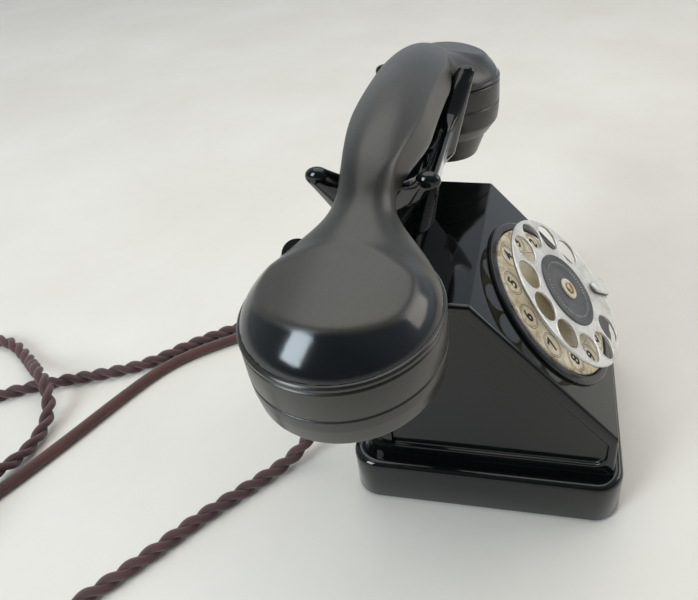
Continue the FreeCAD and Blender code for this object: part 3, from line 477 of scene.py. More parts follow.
def surface_of(field, low, high, step, rounds=5):
    """Closed quad mesh of the surface on which field(points) is zero: one point in each cell that the
    surface crosses, evened out among its neighbours and moved onto the surface in turn."""
    probe = 0.02
    axes = [np.arange(a, b + step, step) for a, b in zip(low, high)]
    inside = field(np.stack(np.meshgrid(*axes, indexing="ij"), -1)) < 0
    cells = tuple(n - 1 for n in inside.shape)
    count = np.zeros(cells, int)
    for corner in itertools.product((0, 1), repeat=3):
        count += inside[tuple(slice(c, c + n) for c, n in zip(corner, cells))]
    active = (count > 0) & (count < 8)
    index = np.full(cells, -1)
    index[active] = np.arange(active.sum())
    points = (np.argwhere(active) + 0.5) * step + np.array(low, float)
    faces = []
    for axis in range(3):
        b, c = np.eye(3, dtype=int)[(axis + 1) % 3], np.eye(3, dtype=int)[(axis + 2) % 3]
        first, second = np.delete(inside, -1, axis), np.delete(inside, 0, axis)
        where = np.argwhere(first != second)
        flip = first[tuple(where.T)]
        quads = np.stack([index[tuple((where - offset).T)] for offset in (0 * b, b, b + c, c)], 1)
        quads[~flip] = quads[~flip][:, ::-1]
        faces.append(quads[(quads >= 0).all(1)])
    faces = np.concatenate(faces)
    edges = np.concatenate([faces[:, [0, 1]], faces[:, [1, 2]], faces[:, [2, 3]], faces[:, [3, 0]]])
    weight = np.maximum(np.bincount(edges.ravel(), minlength=len(points)), 1)[:, None]
    for turn in range(rounds):
        if turn:
            total = np.zeros_like(points)
            for a, b in ((0, 1), (1, 0)):
                np.add.at(total, edges[:, a], points[edges[:, b]])
            points = 0.4 * points + 0.6 * total / weight
        for _ in range(3):
            value = field(points)
            grad = np.stack([(field(points + e) - field(points - e)) / (2 * probe)
                             for e in np.eye(3) * probe], -1)
            move = grad * (value / np.maximum((grad ** 2).sum(-1), 1e-3))[:, None]
            reach = np.linalg.norm(move, axis=1, keepdims=True)
            points = points - move * np.minimum(1, 0.6 * step / np.maximum(reach, 1e-9))
    return points, faces


def from_curve(curve):
    """Mesh of a curve datablock, as points in millimetres and faces."""
    holder = bpy.data.objects.new(curve.name, curve)
    SCENE.collection.objects.link(holder)
    bpy.context.view_layer.update()
    mesh = bpy.data.meshes.new_from_object(holder.evaluated_get(bpy.context.evaluated_depsgraph_get()))
    bpy.data.objects.remove(holder)
    verts = [tuple(v.co / MM) for v in mesh.vertices]
    faces = [list(p.vertices) for p in mesh.polygons]
    bpy.data.meshes.remove(mesh)
    return verts, faces


def flat_plate(circles, z, thickness, bevel):
    """Flat plate with round edges, cut out of circles (x, y, radius): the first is the outside."""
    curve = bpy.data.curves.new("plate", "CURVE")
    curve.dimensions = "2D"
    curve.fill_mode = "BOTH"
    curve.extrude = (thickness / 2 - bevel) * MM
    curve.bevel_depth = bevel * MM
    curve.bevel_resolution = 2
    curve.offset = -bevel * MM
    for x, y, radius in circles:
        count = 128 if radius > 12 else 48 if radius > 3 else 16
        spline = curve.splines.new("POLY")
        spline.points.add(count - 1)
        for k, point in enumerate(spline.points):
            angle = 2 * math.pi * k / count
            point.co = ((x + radius * math.cos(angle)) * MM, (y + radius * math.sin(angle)) * MM, 0, 1)
        spline.use_cyclic_u = True
    verts, faces = from_curve(curve)
    return [(x, y, c + z + thickness / 2) for x, y, c in verts], faces


# ---------------------------------------------------------------- cords

LINE_ROUTE = [
    (26, 67.5, 10), (26.3, 81.5, 8.4), (31, 94.5, 4.9), (37.5, 106.5, 3.3), (43.5, 119, 3.3),
    (46.3, 132.5, 3.3), (44.5, 146, 3.3), (38, 158, 3.3), (28.5, 171, 3.3),
    (18, 184, 3.3), (4, 195.8, 3.3), (-19, 206.5, 3.3), (-48, 218.2, 3.3),
    (-78, 231.8, 3.3), (-106, 247, 3.3), (-134, 264.5, 3.3),
]
HANDSET_ROUTE = [
    (40, 67.5, 10), (40.3, 81.5, 8.6), (44.5, 94.5, 5.4), (50.5, 106.5, 3.9), (55, 119.5, 3.9),
    (56.2, 133, 3.9), (53.5, 147, 3.9), (46.5, 160.5, 3.9), (36.5, 174, 3.9),
    (26, 187, 3.9), (13, 199, 3.9), (4.5, 211.5, 3.9), (-2, 226, 3.9), (-7.5, 241, 3.9),
    (-13.5, 256, 3.9), (-20.5, 270.5, 3.9), (-28.5, 283.5, 3.9), (-35, 297, 3.9),
    (-37, 311, 3.9), (-33.4, 324.5, 3.9), (-23.5, 334.4, 3.9), (-10, 338, 3.9),
    (3.5, 334.4, 3.9), (13.4, 324.5, 3.9), (17, 311, 3.9), (13.4, 297.5, 3.9),
    (5.5, 284.5, 3.9), (-3, 272.5, 6.5), (-12.5, 260, 14.1), (-22, 246, 14.1),
    (-35, 236.5, 7.0), (-51.5, 234, 3.9), (-67, 236.5, 5.0), (-80.5, 241.5, 10.5),
    (-94, 244.5, 14.1), (-111, 240, 14.1), (-126, 230.5, 8.0),
    (-138, 216.5, 4.4), (-144, 199.5, 3.9), (-142, 181.5, 3.9), (-131, 167, 3.9),
    (-115.5, 153, 3.9), (-98, 139, 3.9), (-82, 127.5, 3.9), (-68.5, 115.5, 3.9),
    (-56.5, 104.5, 3.9), (-45.5, 94, 5.6), (-37, 86, 13.5), (-33.5, 81, 27.0), (-34, 78.5, 43.0),
    (-36.5, 78, 61.0), (-40, 78.5, 79.0), (-45, 78.5, 97.5), (-52, 76.5, 115.5),
    (-60.5, 69.8, 134.5), (-71, 61, 148.0),
]
TAIL_ROUTE = [(-153.5, 297, 14.4), (-153, 311, 13.6), (-151.5, 325, 10.5), (-150, 339, 7.8)]
COIL_CENTRE = (-117.5, 295.5)
COIL_RADII = (39, 33, 27, 27, 33, 39, 36, 36)
COIL_HEIGHTS = (3.3, 3.3, 3.3, 8.9, 8.9, 8.9, 14.4, 14.4)
COIL_START = -118.0
COIL_TURNS = 7.17
COIL_HOLD = 0.7
COIL_SWAY = 0.35
COIL_INSET = 2.2
TURN_POINTS = 16
CORD_R = 3.0
STRAND_R = 1.95
STRAND_OFFSET = 1.65
STRANDS = 2
TWIST_PITCH = 18.5
LINE_STEP = 1.25


def coil_points():
    """Clockwise turns of the line cord: each keeps its place for most of a turn, then moves to the
    next. The first starts a little inside its place, where the cord comes in."""
    points = []
    for step in range(1, round(COIL_TURNS * TURN_POINTS)):
        turn = step / TURN_POINTS
        whole = int(turn)
        following = min(whole + 1, len(COIL_RADII) - 1)
        shift = ease((turn - whole - COIL_HOLD) / (1 - COIL_HOLD))
        radius = COIL_RADII[whole] + shift * (COIL_RADII[following] - COIL_RADII[whole])
        height = COIL_HEIGHTS[whole] + shift * (COIL_HEIGHTS[following] - COIL_HEIGHTS[whole])
        radius += random.uniform(-COIL_SWAY, COIL_SWAY) - COIL_INSET * max(0.0, 1 - 3 * turn)
        angle = math.radians(COIL_START - 360 * turn)
        x, y = COIL_CENTRE[0] + radius * math.cos(angle), COIL_CENTRE[1] + radius * math.sin(angle)
        points.append((x, y, height))
    return points


def cord_line(name, route):
    """Curve data with one open spline that has the route's points as its control points."""
    curve = bpy.data.curves.new(name, "CURVE")
    curve.dimensions = "3D"
    curve.resolution_u = 10
    spline = curve.splines.new("NURBS")
    spline.points.add(len(route) - 1)
    for point, place in zip(spline.points, route):
        point.co = (*(v * MM for v in place), 1)
    spline.order_u = 3
    spline.use_endpoint_u = True
    return curve


def centreline(curve):
    """Evenly spaced points along a curve without bevel, in millimetres, and the curve's length."""
    raw = np.array(from_curve(curve)[0])
    gaps = np.linalg.norm(np.diff(raw, axis=0), axis=1)
    raw = raw[np.concatenate([[True], gaps > 1e-4])]
    along = np.concatenate([[0], np.cumsum(np.linalg.norm(np.diff(raw, axis=0), axis=1))])
    even = np.linspace(0, along[-1], int(along[-1] / LINE_STEP))
    return np.stack([np.interp(even, along, raw[:, i]) for i in range(3)], 1), along[-1]


def frames_along(line):
    """Two side directions at each point that turn as little as they can."""
    ahead = np.gradient(line, axis=0)
    ahead /= np.linalg.norm(ahead, axis=1, keepdims=True)
    side = np.cross(ahead[0], (0, 0, 1.0))
    sides = []
    for direction in ahead:
        side = side - direction * (side @ direction)
        side = side / np.linalg.norm(side)
        sides.append(side)
    sides = np.array(sides)
    return sides, np.cross(ahead, sides)


def tube_mesh(line, radius, sides):
    """Tube round a line with closed ends; its map is millimetres along and turns round."""
    first, second = frames_along(line)
    angles = np.linspace(0, 2 * math.pi, sides, endpoint=False)
    ring = line[:, None] + radius * (np.cos(angles)[None, :, None] * first[:, None]
                                     + np.sin(angles)[None, :, None] * second[:, None])
    verts = ring.reshape(-1, 3)
    step = np.linalg.norm(line[1] - line[0])
    faces, uvs = [], []
    for row in range(len(line) - 1):
        for k in range(sides):
            n = (k + 1) % sides
            faces.append([row * sides + k, row * sides + n, (row + 1) * sides + n, (row + 1) * sides + k])
            u0, u1, v0, v1 = row * step, (row + 1) * step, k / sides, (k + 1) / sides
            uvs += [(u0, v0), (u0, v1), (u1, v1), (u1, v0)]
    last = (len(line) - 1) * sides
    faces += [list(range(sides))[::-1], list(range(last, last + sides))]
    uvs += [(0, 0)] * (2 * sides)
    return verts, faces, uvs


def make_line_cord():
    curve = cord_line("line_cord_route", LINE_ROUTE + coil_points() + TAIL_ROUTE)
    line, length = centreline(curve)
    verts, faces, uvs = tube_mesh(line, CORD_R, 14)
    piece = add_piece("line_cord_braid", verts, faces, "line_textile", "root",
                      ("line_cord", "line_cord_coil", "line_cord_tail"), uvs=uvs)
    return piece, line, length


def make_handset_cord():
    curve = cord_line("handset_cord_route", HANDSET_ROUTE)
    line, length = centreline(curve)
    first, second = frames_along(line)
    along = np.linspace(0, length, len(line))
    verts, faces, uvs = [], [], []
    for strand in range(STRANDS):
        phase = 2 * math.pi * (along / TWIST_PITCH + strand / STRANDS)
        offset = STRAND_OFFSET * (np.cos(phase)[:, None] * first + np.sin(phase)[:, None] * second)
        part_verts, part_faces, part_uvs = tube_mesh(line + offset, STRAND_R, 12)
        start = len(verts)
        verts += [tuple(v) for v in part_verts]
        faces += [[i + start for i in face] for face in part_faces]
        uvs += part_uvs
    piece = add_piece("handset_cord_twist", verts, faces, "handset_textile", None, ("handset_cord",), uvs=uvs)
    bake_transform(piece)
    return piece, line, length


PLUG_HALF_W, PLUG_HALF_H, PLUG_CORNER_R = 15.0, 7.5, 3.6
PLUG_THIN = 0.45
PLUG_STATIONS = [
    (0.0, 0.30), (0.4, 0.36), (6.0, 0.44), (10.0, 0.72), (13.0, 0.90), (15.0, 0.93), (15.8, 0.87),
    (17.2, 0.87), (18.0, 0.96), (20.0, 0.97), (20.8, 0.90), (22.2, 0.90), (23.0, 1.0), (32.8, 1.0),
    (33.7, 0.96), (34.0, 0.90),
]


def make_plug():
    """Moulded plug: neck at the cord, two grip grooves and a flat front with rounded edges. Each
    station is a distance from the cord's end and a share of the full width."""
    end, before = Vector(TAIL_ROUTE[-1]), Vector(TAIL_ROUTE[-2])
    turn = Matrix.Rotation(math.atan2(end.y - before.y, end.x - before.x) - math.pi / 2, 3, "Z")
    loops = []
    for along, share in PLUG_STATIONS:
        w, h = PLUG_HALF_W * share, PLUG_HALF_H * (PLUG_THIN + (1 - PLUG_THIN) * share)
        section = softened([(-w, -h), (w, -h), (w, h), (-w, h)], PLUG_CORNER_R * share, 5)
        loops.append([tuple(end + turn @ Vector((x, along, z))) for x, z in section])
    verts, faces = loft(loops)
    add_piece("plug_shell", verts, faces, "rubber", "root", ("plug_body",), sharp=35)


make_plug()
line_cord, line_path, line_length = make_line_cord()
handset_cord, handset_path, handset_length = make_handset_cord()
print("line cord", round(line_length), "handset cord", round(handset_length))


# ---------------------------------------------------------------- stage and light

def make_stage():
    """Pale plain floor, in metres."""
    half = 4.0
    mesh = bpy.data.meshes.new("floor")
    corners = [(-half, -half, 0), (half, -half, 0), (half, half, 0), (-half, half, 0)]
    mesh.from_pydata(corners, [], [(0, 1, 2, 3)])
    material, tree, shader = new_material("floor", (0.80, 0.75, 0.68), 0.6)
    cloud = noise(tree, 6.0, 5.0, 0.6)
    tree.links.new(ramp(tree, cloud, [(0.3, (0.76, 0.71, 0.63)), (0.75, (0.84, 0.80, 0.73))]),
                   shader.inputs["Base Color"])
    mesh.materials.append(material)
    floor = bpy.data.objects.new("floor", mesh)
    SCENE.collection.objects.link(floor)


def area_light(name, place, target, size, power, color):
    data = bpy.data.lights.new(name, "AREA")
    data.shape = "RECTANGLE"
    data.size, data.size_y = size
    data.energy = power
    data.color = color
    light = bpy.data.objects.new(name, data)
    light.location = place
    light.rotation_euler = (Vector(target) - Vector(place)).to_track_quat("-Z", "Y").to_euler()
    SCENE.collection.objects.link(light)


def make_world():
    """Studio surroundings: pale beyond the telephone, dim behind its near end."""
    world = bpy.data.worlds.new("studio")
    world.use_nodes = True
    tree = world.node_tree
    split = tree.nodes.new("ShaderNodeSeparateXYZ")
    tree.links.new(tree.nodes.new("ShaderNodeTexCoord").outputs["Generated"], split.inputs["Vector"])
    share = math_node(tree, "MULTIPLY_ADD", split.outputs["X"], 0.5)
    share.node.inputs[2].default_value = 0.5
    color = ramp(tree, share, [(0.12, (0.10, 0.11, 0.13)), (0.45, (0.28, 0.31, 0.34)),
                               (0.8, (0.62, 0.68, 0.74))])
    tree.links.new(color, tree.nodes["Background"].inputs["Color"])
    SCENE.world = world


def make_light():
    make_world()
    SCENE.view_settings.view_transform = "Standard"
    area_light("window", (-0.9, 0.75, 0.75), (0, 0, 0.1), (0.45, 0.7), 11.0, (0.80, 0.92, 1.0))
    area_light("ceiling", (0.3, 0.1, 1.5), (0, 0.05, 0.1), (1.5, 1.5), 11.0, (1.0, 0.97, 0.92))
    area_light("front_fill", (0.5, -1.2, 0.7), (0, 0, 0.1), (0.8, 0.6), 4.0, (1.0, 0.93, 0.84))


make_stage()
make_light()


# ---------------------------------------------------------------- case

PLINTH_HALF, PLINTH_FRONT, PLINTH_BACK = 57.0, -65.3, 59.5
PLINTH_LOW, PLINTH_TOP, PLINTH_CORNER, PLINTH_EDGE = 1.0, 24.0, 13.0, 3.0
BODY_HALF = 49.0
BODY_CORNERS = [(53.5, 22.0), (53.5, 115.3), (2.6, 115.3), (-60.7, 46.5), (-60.7, 22.0)]
BACK_ROUND, SIDE_ROUND = 9.0, 1.9
OUTER_RADII = (0.6, 1.6, 1.3, 1.6, 0.6)
PANEL_RADII = (4.0, 2.2, 2.0, 1.6, 7.0)
PANEL_INSET = 6.0
PANEL_BOTTOM_INSET = 8.0


def inset_outline(corners, insets):
    """Move each side of a closed outline inwards by its own distance. Side i runs from corner i to
    the next."""
    count = len(corners)
    lines = []
    for i in range(count):
        a, b = np.array(corners[i], float), np.array(corners[(i + 1) % count], float)
        ahead = (b - a) / np.linalg.norm(b - a)
        inward = np.array((-ahead[1], ahead[0]))
        lines.append((a + inward * insets[i], ahead))
    out = []
    for i in range(count):
        (p, d), (q, e) = lines[i - 1], lines[i]
        share = np.linalg.solve(np.array((d, -e)).T, q - p)[0]
        out.append(tuple(p + d * share))
    return out


def body_loop(x, inset):
    """Outline of the body at one distance from its middle, set in where its side panel steps down."""
    share = min(inset / PANEL_INSET, 1.25)
    over = min(max(abs(x) - (BODY_HALF - BACK_ROUND), 0.0), BACK_ROUND)
    back = BACK_ROUND - math.sqrt(BACK_ROUND ** 2 - over ** 2)
    insets = (inset + back, inset, inset, inset * 0.75, share * PANEL_BOTTOM_INSET)
    radii = [a + (b - a) * min(share, 1.0) for a, b in zip(OUTER_RADII, PANEL_RADII)]
    outline = inset_outline(BODY_CORNERS, insets)
    return [(x, y, z) for y, z in softened(outline, radii, 7)]


def make_body():
    """Wedge body with stepped side panels, on a plinth with rounded corners and top edge."""
    edge = [(BODY_HALF - SIDE_ROUND + SIDE_ROUND * math.sin(angle), SIDE_ROUND * (1 - math.cos(angle)))
            for angle in np.linspace(0, math.pi / 2, 8)]
    rounded_back = [(x, 0.0) for x in (0, 20, 40, 42, 44, 45.5, 46.5)]
    bead = [(49.0, 3.6), (49.0, 4.7), (48.93, 5.1), (48.72, 5.4), (48.4, 5.55), (47.95, 5.6), (47.7, 5.7),
            (47.54, 5.95), (47.5, 6.4)]
    half = rounded_back + edge + bead
    sections = [(-x, inset) for x, inset in reversed(half[1:])] + half
    body = loft([body_loop(x, inset) for x, inset in sections])
    plan = [(-PLINTH_HALF, PLINTH_FRONT), (PLINTH_HALF, PLINTH_FRONT), (PLINTH_HALF, PLINTH_BACK),
            (-PLINTH_HALF, PLINTH_BACK)]
    steps = [(PLINTH_LOW + 4, 3.6), (PLINTH_LOW, 3.4), (PLINTH_LOW, 0.7), (PLINTH_LOW + 0.2, 0.25),
             (PLINTH_LOW + 0.7, 0.0), (PLINTH_TOP - PLINTH_EDGE, 0.0)]
    for k in range(1, 9):
        angle = k * math.pi / 16
        steps.append((PLINTH_TOP - PLINTH_EDGE * (1 - math.sin(angle)), PLINTH_EDGE * (1 - math.cos(angle))))
    steps += [(PLINTH_TOP, 3.6), (PLINTH_TOP - 0.25, 4.4), (PLINTH_TOP - 0.5, 5.2), (PLINTH_TOP - 0.55, 9.0)]
    loops = []
    for z, inset in steps:
        outline = inset_outline(plan, [inset] * 4)
        loops.append([(x, y, z) for x, y in softened(outline, PLINTH_CORNER - inset, 12)])
    verts, faces = together([body, loft(loops)])
    add_piece("case_body", verts, faces, "case_bakelite", "root", ("case_shell",), sharp=50)


make_body()


# ---------------------------------------------------------------- handset

HANDSET_Y = 33.8
CUP_X, RIM_Z, CUP_TILT = 97.8, 154.6, math.radians(3.0)
CUP_R, CUP_DOME, DOME_POWER, DOME_SCALE = 30.4, 21.0, 1.5, 16.0
CUP_TOP_Z, CUP_TOP_SLOPE = 169.2, 0.16
GRIP_TOP, GRIP_DROP, DROP_POWER = 193.8, 3.6e-4, 2.5
GRIP_CROWN_R, FLANK_LEAN = 13.0, math.radians(12.5)
NECK_DEPTH, GRIP_BELLY = 12.5, 8.5
NECK_HALF, GRIP_SWELL = 9.2, 6.6
CREASE_K, NECK_K, CUP_BLEND = 0.5, 7.0, 19.0
SOUND_CIRCLE_R, SOUND_HOLE_R = 5.6, 1.2


def cup_axes(x, y, z):
    """Distance from a cup's axis and height over its rim; the cup leans inwards a little."""
    out, up = x - CUP_X, z - RIM_Z
    across = out * math.cos(CUP_TILT) - up * math.sin(CUP_TILT)
    height = out * math.sin(CUP_TILT) + up * math.cos(CUP_TILT)
    return across, np.sqrt(across ** 2 + y ** 2), height


def grip_top(x):
    """Height of the handset's top line: an arch that flattens out over each cup."""
    return smooth_max(GRIP_TOP - GRIP_DROP * x ** DROP_POWER, CUP_TOP_Z - CUP_TOP_SLOPE * (x - CUP_X), 8.0)


def grip_field(x, y, z, crispness):
    """Rounded top between two flanks that swell outwards in the middle of the grip, with a crease between."""
    top = grip_top(x)
    low = top - NECK_DEPTH - GRIP_BELLY * (1 - ease((x - 20.0) / 50.0))
    half = NECK_HALF + GRIP_SWELL * (1 - ease((x - 22.0) / 54.0))
    back = (z - top + y * y / (2 * GRIP_CROWN_R)) * 0.85
    flank = (np.abs(y) - half) * math.cos(FLANK_LEAN) + (z - low - 2.0) * math.sin(FLANK_LEAN)
    sides = smooth_max(back, flank, crispness)
    return smooth_max(smooth_max(sides, low - z, 4.5), x - CUP_X, 6.0)


def handset_field(p):
    """Grip and two domed cups in one shell. The grip's crease fades out near each cup, and the cups'
    tops are cut by one broad crown, with an edge that grows crisp over the outer half."""
    x, y, z = np.abs(p[..., 0]), p[..., 1] - HANDSET_Y, p[..., 2]
    across, radius, height = cup_axes(x, y, z)
    rise = np.maximum(height, 0) / CUP_DOME
    dome = ((radius / CUP_R) ** DOME_POWER + rise ** DOME_POWER - 1) * DOME_SCALE
    near = ease((-p[..., 0] - 50.0) / 26.0)
    far = ease((p[..., 0] - 78.0) / 18.0)
    crispness = CREASE_K + (NECK_K - CREASE_K) * np.maximum(near, far)
    whole = smooth_min(grip_field(x, y, z, crispness), dome, CUP_BLEND)
    breadth = 26.0 + 114.0 * ease((x - 62.0) / 34.0)
    clear = 12.0 * (1 - ease((x - 48.0) / 25.0))
    crown = z - grip_top(x) + y * y / breadth - clear
    whole = smooth_max(whole, crown, 9.0 - 8.5 * ease((across + 14.0) / 12.0))
    return smooth_max(whole, -(height + 0.2), 0.5)


def cup_place(side):
    """Carries points from a cup's own axes, with its rim at height 0, to the telephone's."""
    def place(x, y, z):
        across = x * side
        return (side * (CUP_X + across * math.cos(CUP_TILT) + z * math.sin(CUP_TILT)), HANDSET_Y + y,
                RIM_Z - across * math.sin(CUP_TILT) + z * math.cos(CUP_TILT))
    return place


def make_handset():
    """Shell with a lip round each cup; polish is high on the cups below the crown's edge."""
    low = (-131.0, HANDSET_Y - 34.0, 150.0)
    high = (131.0, HANDSET_Y + 34.0, 200.0)
    points, faces = surface_of(handset_field, low, high, 1.0)
    x, y, z = np.abs(points[:, 0]), points[:, 1] - HANDSET_Y, points[:, 2]
    across, radius, _ = cup_axes(x, y, z)
    below = np.clip((grip_top(x) - y * y / 140.0 - z - 0.5) / 0.8, 0, 1)
    polish = below * np.clip((radius - 15.0) / 4.0, 0, 1) * np.clip((across + 12.0) / 10.0, 0, 1)
    lip = softened([(28.6, -1.6), (30.7, -1.6), (31.3, -1.1), (31.3, -0.1), (30.8, 0.5), (29.6, 0.9),
                    (28.6, 0.9)], 0.35, 3)
    rims = [placed(lathe(lip, 160, closed=True), cup_place(side)) for side in (-1, 1)]
    shade = np.concatenate([polish, np.full(len(rims[0][0]) * 2, 0.5)])
    verts, faces = together([(points, faces)] + rims)
    add_piece("handset_body", verts, faces, "handset_bakelite", "handset", ("handset_shell",),
              shades={"polish": shade})


def make_cap(name, node, side, step_z, step_r, face_z, face_r):
    """Screw cap: thin collar, tall band, chamfered band, then a smaller stepped face with sound holes."""
    profile = [
        (28.9, -1.9), (30.7, -1.9), (31.2, -2.5), (31.2, -12.7), (30.75, -13.1), (30.75, -13.6),
        (31.15, -14.0), (30.95, -18.0), (30.2, -23.8), (29.75, -24.2), (29.7, -24.7), (29.3, -25.2),
        (step_r + 1.2, -step_z), (step_r, -step_z - 0.3), (face_r + 0.3, -face_z + 0.4), (face_r, -face_z),
        (13.0, -face_z), (11.6, -face_z + 0.6), (11.3, -face_z + 1.8), (11.3, -face_z + 4.0),
        (face_r - 3.0, -face_z + 4.4), (step_r - 3.2, -step_z + 2.0), (26.0, -22.0), (26.0, -8.0),
        (28.9, -8.0),
    ]
    ring = lathe(softened(profile, 0.5, 3), 144, closed=True)
    holes = [(0, 0, SOUND_HOLE_R)] + [(*around(SOUND_CIRCLE_R, 60 * i), SOUND_HOLE_R) for i in range(6)]
    disc = flat_plate([(0, 0, 11.6)] + holes, -face_z + 1.8, 1.8, 0.3)
    verts, faces = placed(together([ring, disc]), cup_place(side))
    add_piece(name, verts, faces, "handset_bakelite", "handset", (node,), sharp=40,
              shades={"polish": np.full(len(verts), 0.25)})


make_handset()
make_cap("mouthpiece", "mouthpiece_cap", -1, 29.5, 24.1, 36.0, 19.5)
make_cap("earpiece", "earpiece_cap", 1, 31.0, 24.1, 45.3, 18.4)


# ---------------------------------------------------------------- cradle

PEDESTAL_Z, HORN_Z = 115.9, 175.6
HORN_BASE_R, HORN_TIP_R = 9.0, 3.5
HORN_SQUASH = (1.15, 0.78, 1.0)
HORNS = [((51.6, 15.0, 172.6), (30.0, 28.0, 146.0)), ((51.6, 54.2, 172.6), (30.0, 44.0, 146.0))]
CRADLE_WALL, WELL_Z = 4.6, 148.0
NOTCH_Z, NOTCH_HALF = 168.2, 14.6


def cradle_field(p):
    """Basket that flares from its pedestal to four rounded horns, with a hollow for the grip."""
    x, y, z = np.abs(p[..., 0]), p[..., 1], p[..., 2]
    share = (z - PEDESTAL_Z) / (HORN_Z - PEDESTAL_Z)
    half = 20.0 + 33.7 * share
    front, back = 28.0 - 14.8 * share, 50.0 + 6.0 * share
    outer = smooth_max(smooth_max((x - half) * 0.87, (front - y) * 0.97, 4.0), (y - back) * 0.99, 4.0)
    outer = smooth_max(outer, smooth_max(z - HORN_Z, PEDESTAL_Z - z, 0.5), 2.2)
    inner = smooth_max(smooth_max((x - half + CRADLE_WALL) * 0.87, (front + CRADLE_WALL - y) * 0.97, 6.0),
                       (y - back + CRADLE_WALL) * 0.99, 6.0)
    inner = smooth_max(inner, WELL_Z - z, 5.0)
    dip = (154.0 + 13.0 * (x / 46.0) ** 4 - z) * 0.7
    dip = smooth_max(dip, x - 56.0, 2.0)
    notch = (NOTCH_Z + 8.0 * np.abs((y - HANDSET_Y) / 13.9) ** 2.6 - z) * 0.8
    notch = smooth_max(notch, np.abs(y - HANDSET_Y) - NOTCH_HALF, 3.0)
    hollow = smooth_min(smooth_min(inner, dip, 1.5), smooth_min(notch, NOTCH_Z + 0.2 - z, 1.5), 1.5)
    basket = smooth_max(outer, -hollow, 2.0)
    for tip, base in HORNS:
        axis = np.array(tip) - base
        from_base = np.stack([x, y, z], -1) - base
        along = np.clip(from_base @ axis / (axis @ axis), 0, 1)
        gap = np.linalg.norm((from_base - along[..., None] * axis) * HORN_SQUASH, axis=-1)
        basket = smooth_min(basket, gap - HORN_BASE_R - (HORN_TIP_R - HORN_BASE_R) * along, 4.0)
    return basket


def make_cradle():
    points, faces = surface_of(cradle_field, (-56.0, 10.0, 114.0), (56.0, 59.0, 178.0), 0.9)
    add_piece("cradle_body", points, faces, "case_bakelite", "cradle", ("cradle_yoke",))


make_cradle()


# ---------------------------------------------------------------- dial

DIAL_AT = Vector(JOINTS["dial_turn"]["pos_m"]) / MM
DIAL_OUT = Vector(JOINTS["dial_turn"]["axis"]).normalized()
DIAL_UP = DIAL_OUT.cross(Vector((1, 0, 0)))
WHEEL_R, WHEEL_Z, WHEEL_THICK = 38.0, 9.4, 1.2
HOLE_CIRCLE_R, HOLE_R = 29.4, 7.0
PLATE_R, PLATE_TOP = 37.6, 2.2
DISC_R = 18.4
STOP_ANGLE = math.radians(-44.0)
DIGITS = "1234567890"
DIGIT_CIRCLE_R, DIGIT_SIZE = 31.0, 8.2
DIGIT_RINGS = ((5.7, 0.3), (4.9, 0.22))
RIM_R, RIM_WIRE_R = 37.25, 0.75
MARKS, MARK_CIRCLE_R, MARK_HALF = 60, 14.2, 0.2
SCREW_R, SLOT_HALF, SCREW_TURN = 2.75, 0.42, math.radians(35)


def on_dial(x, y, z):
    return tuple(DIAL_AT + Vector((1, 0, 0)) * x + DIAL_UP * y + DIAL_OUT * z)


def add_dial_piece(name, part, slot, body, replaces=(), **options):
    """Add a piece whose points are on the dial's own axes."""
    verts, faces = placed(part, on_dial)
    return add_piece(name, verts, faces, slot, body, replaces, **options)


def make_number_plate():
    profile = [(0.0, PLATE_TOP - 1.2), (PLATE_R - 1.6, PLATE_TOP - 1.2), (PLATE_R - 1.2, 0.25),
               (PLATE_R, 0.3), (PLATE_R + 0.05, PLATE_TOP - 1.0), (PLATE_R - 0.25, PLATE_TOP - 0.3),
               (PLATE_R - 0.9, PLATE_TOP), (PLATE_R - 2.0, PLATE_TOP), (24.0, PLATE_TOP), (12.0, PLATE_TOP),
               (0.0, PLATE_TOP)]
    verts, faces = lathe(profile, 160)
    edge = [min(1.0, max(0.0, (math.hypot(x, y) - 30.0) / 7.0)) for x, y, _ in verts]
    add_dial_piece("dial_plate", (verts, faces), "enamel", "root", ("number_plate",), sharp=60,
                   shades={"edge": edge})


def ring_mark(radius, width, x, y, height=0.03, segments=64):
    """Thin flat printed ring."""
    inner, outer = radius - width / 2, radius + width / 2
    flat = [(inner, 0), (outer, 0), (outer, height), (inner, height)]
    return placed(lathe(flat, segments, closed=True), lambda a, b, c: (a + x, b + y, c + PLATE_TOP))


def digit_mark(text, x, y, size):
    curve = bpy.data.curves.new("digit_" + text, "FONT")
    curve.body = text
    curve.align_x, curve.align_y = "CENTER", "CENTER"
    curve.size = size * MM
    curve.offset = 0.032 * size * MM
    curve.extrude = 0.02 * MM
    curve.resolution_u = 6
    return placed(from_curve(curve), lambda a, b, c: (a + x, b + y, c + PLATE_TOP + 0.02))


def make_numbers():
    digits, rings = [], []
    for i, text in enumerate(DIGITS):
        x, y = around(DIGIT_CIRCLE_R, 30 * i)
        digits.append(digit_mark(text, x, y, DIGIT_SIZE))
        rings += [ring_mark(radius, width, x, y) for radius, width in DIGIT_RINGS]
    rings.append(ring_mark(24.6, 0.25, 0, 0, segments=120))
    add_dial_piece("dial_numbers", together(digits), "enamel", "root", material=INK)
    add_dial_piece("dial_number_rings", together(rings), "enamel", "root", material=LINE_INK)


def make_dial_ring():
    """Black moulded ring that seats the dial on the case."""
    profile = [(35.0, -3.0), (41.2, -0.5), (42.0, 0.1), (42.15, 0.9), (41.8, 1.6), (41.0, 2.0), (39.2, 2.1),
               (38.6, 1.9), (38.2, 1.2), (38.0, 0.3), (35.0, 0.1)]
    ring = lathe(softened(profile, 0.4, 3), 160, closed=True)
    add_dial_piece("dial_ring", ring, "dial_black", "root", ("dial_case",), sharp=60)


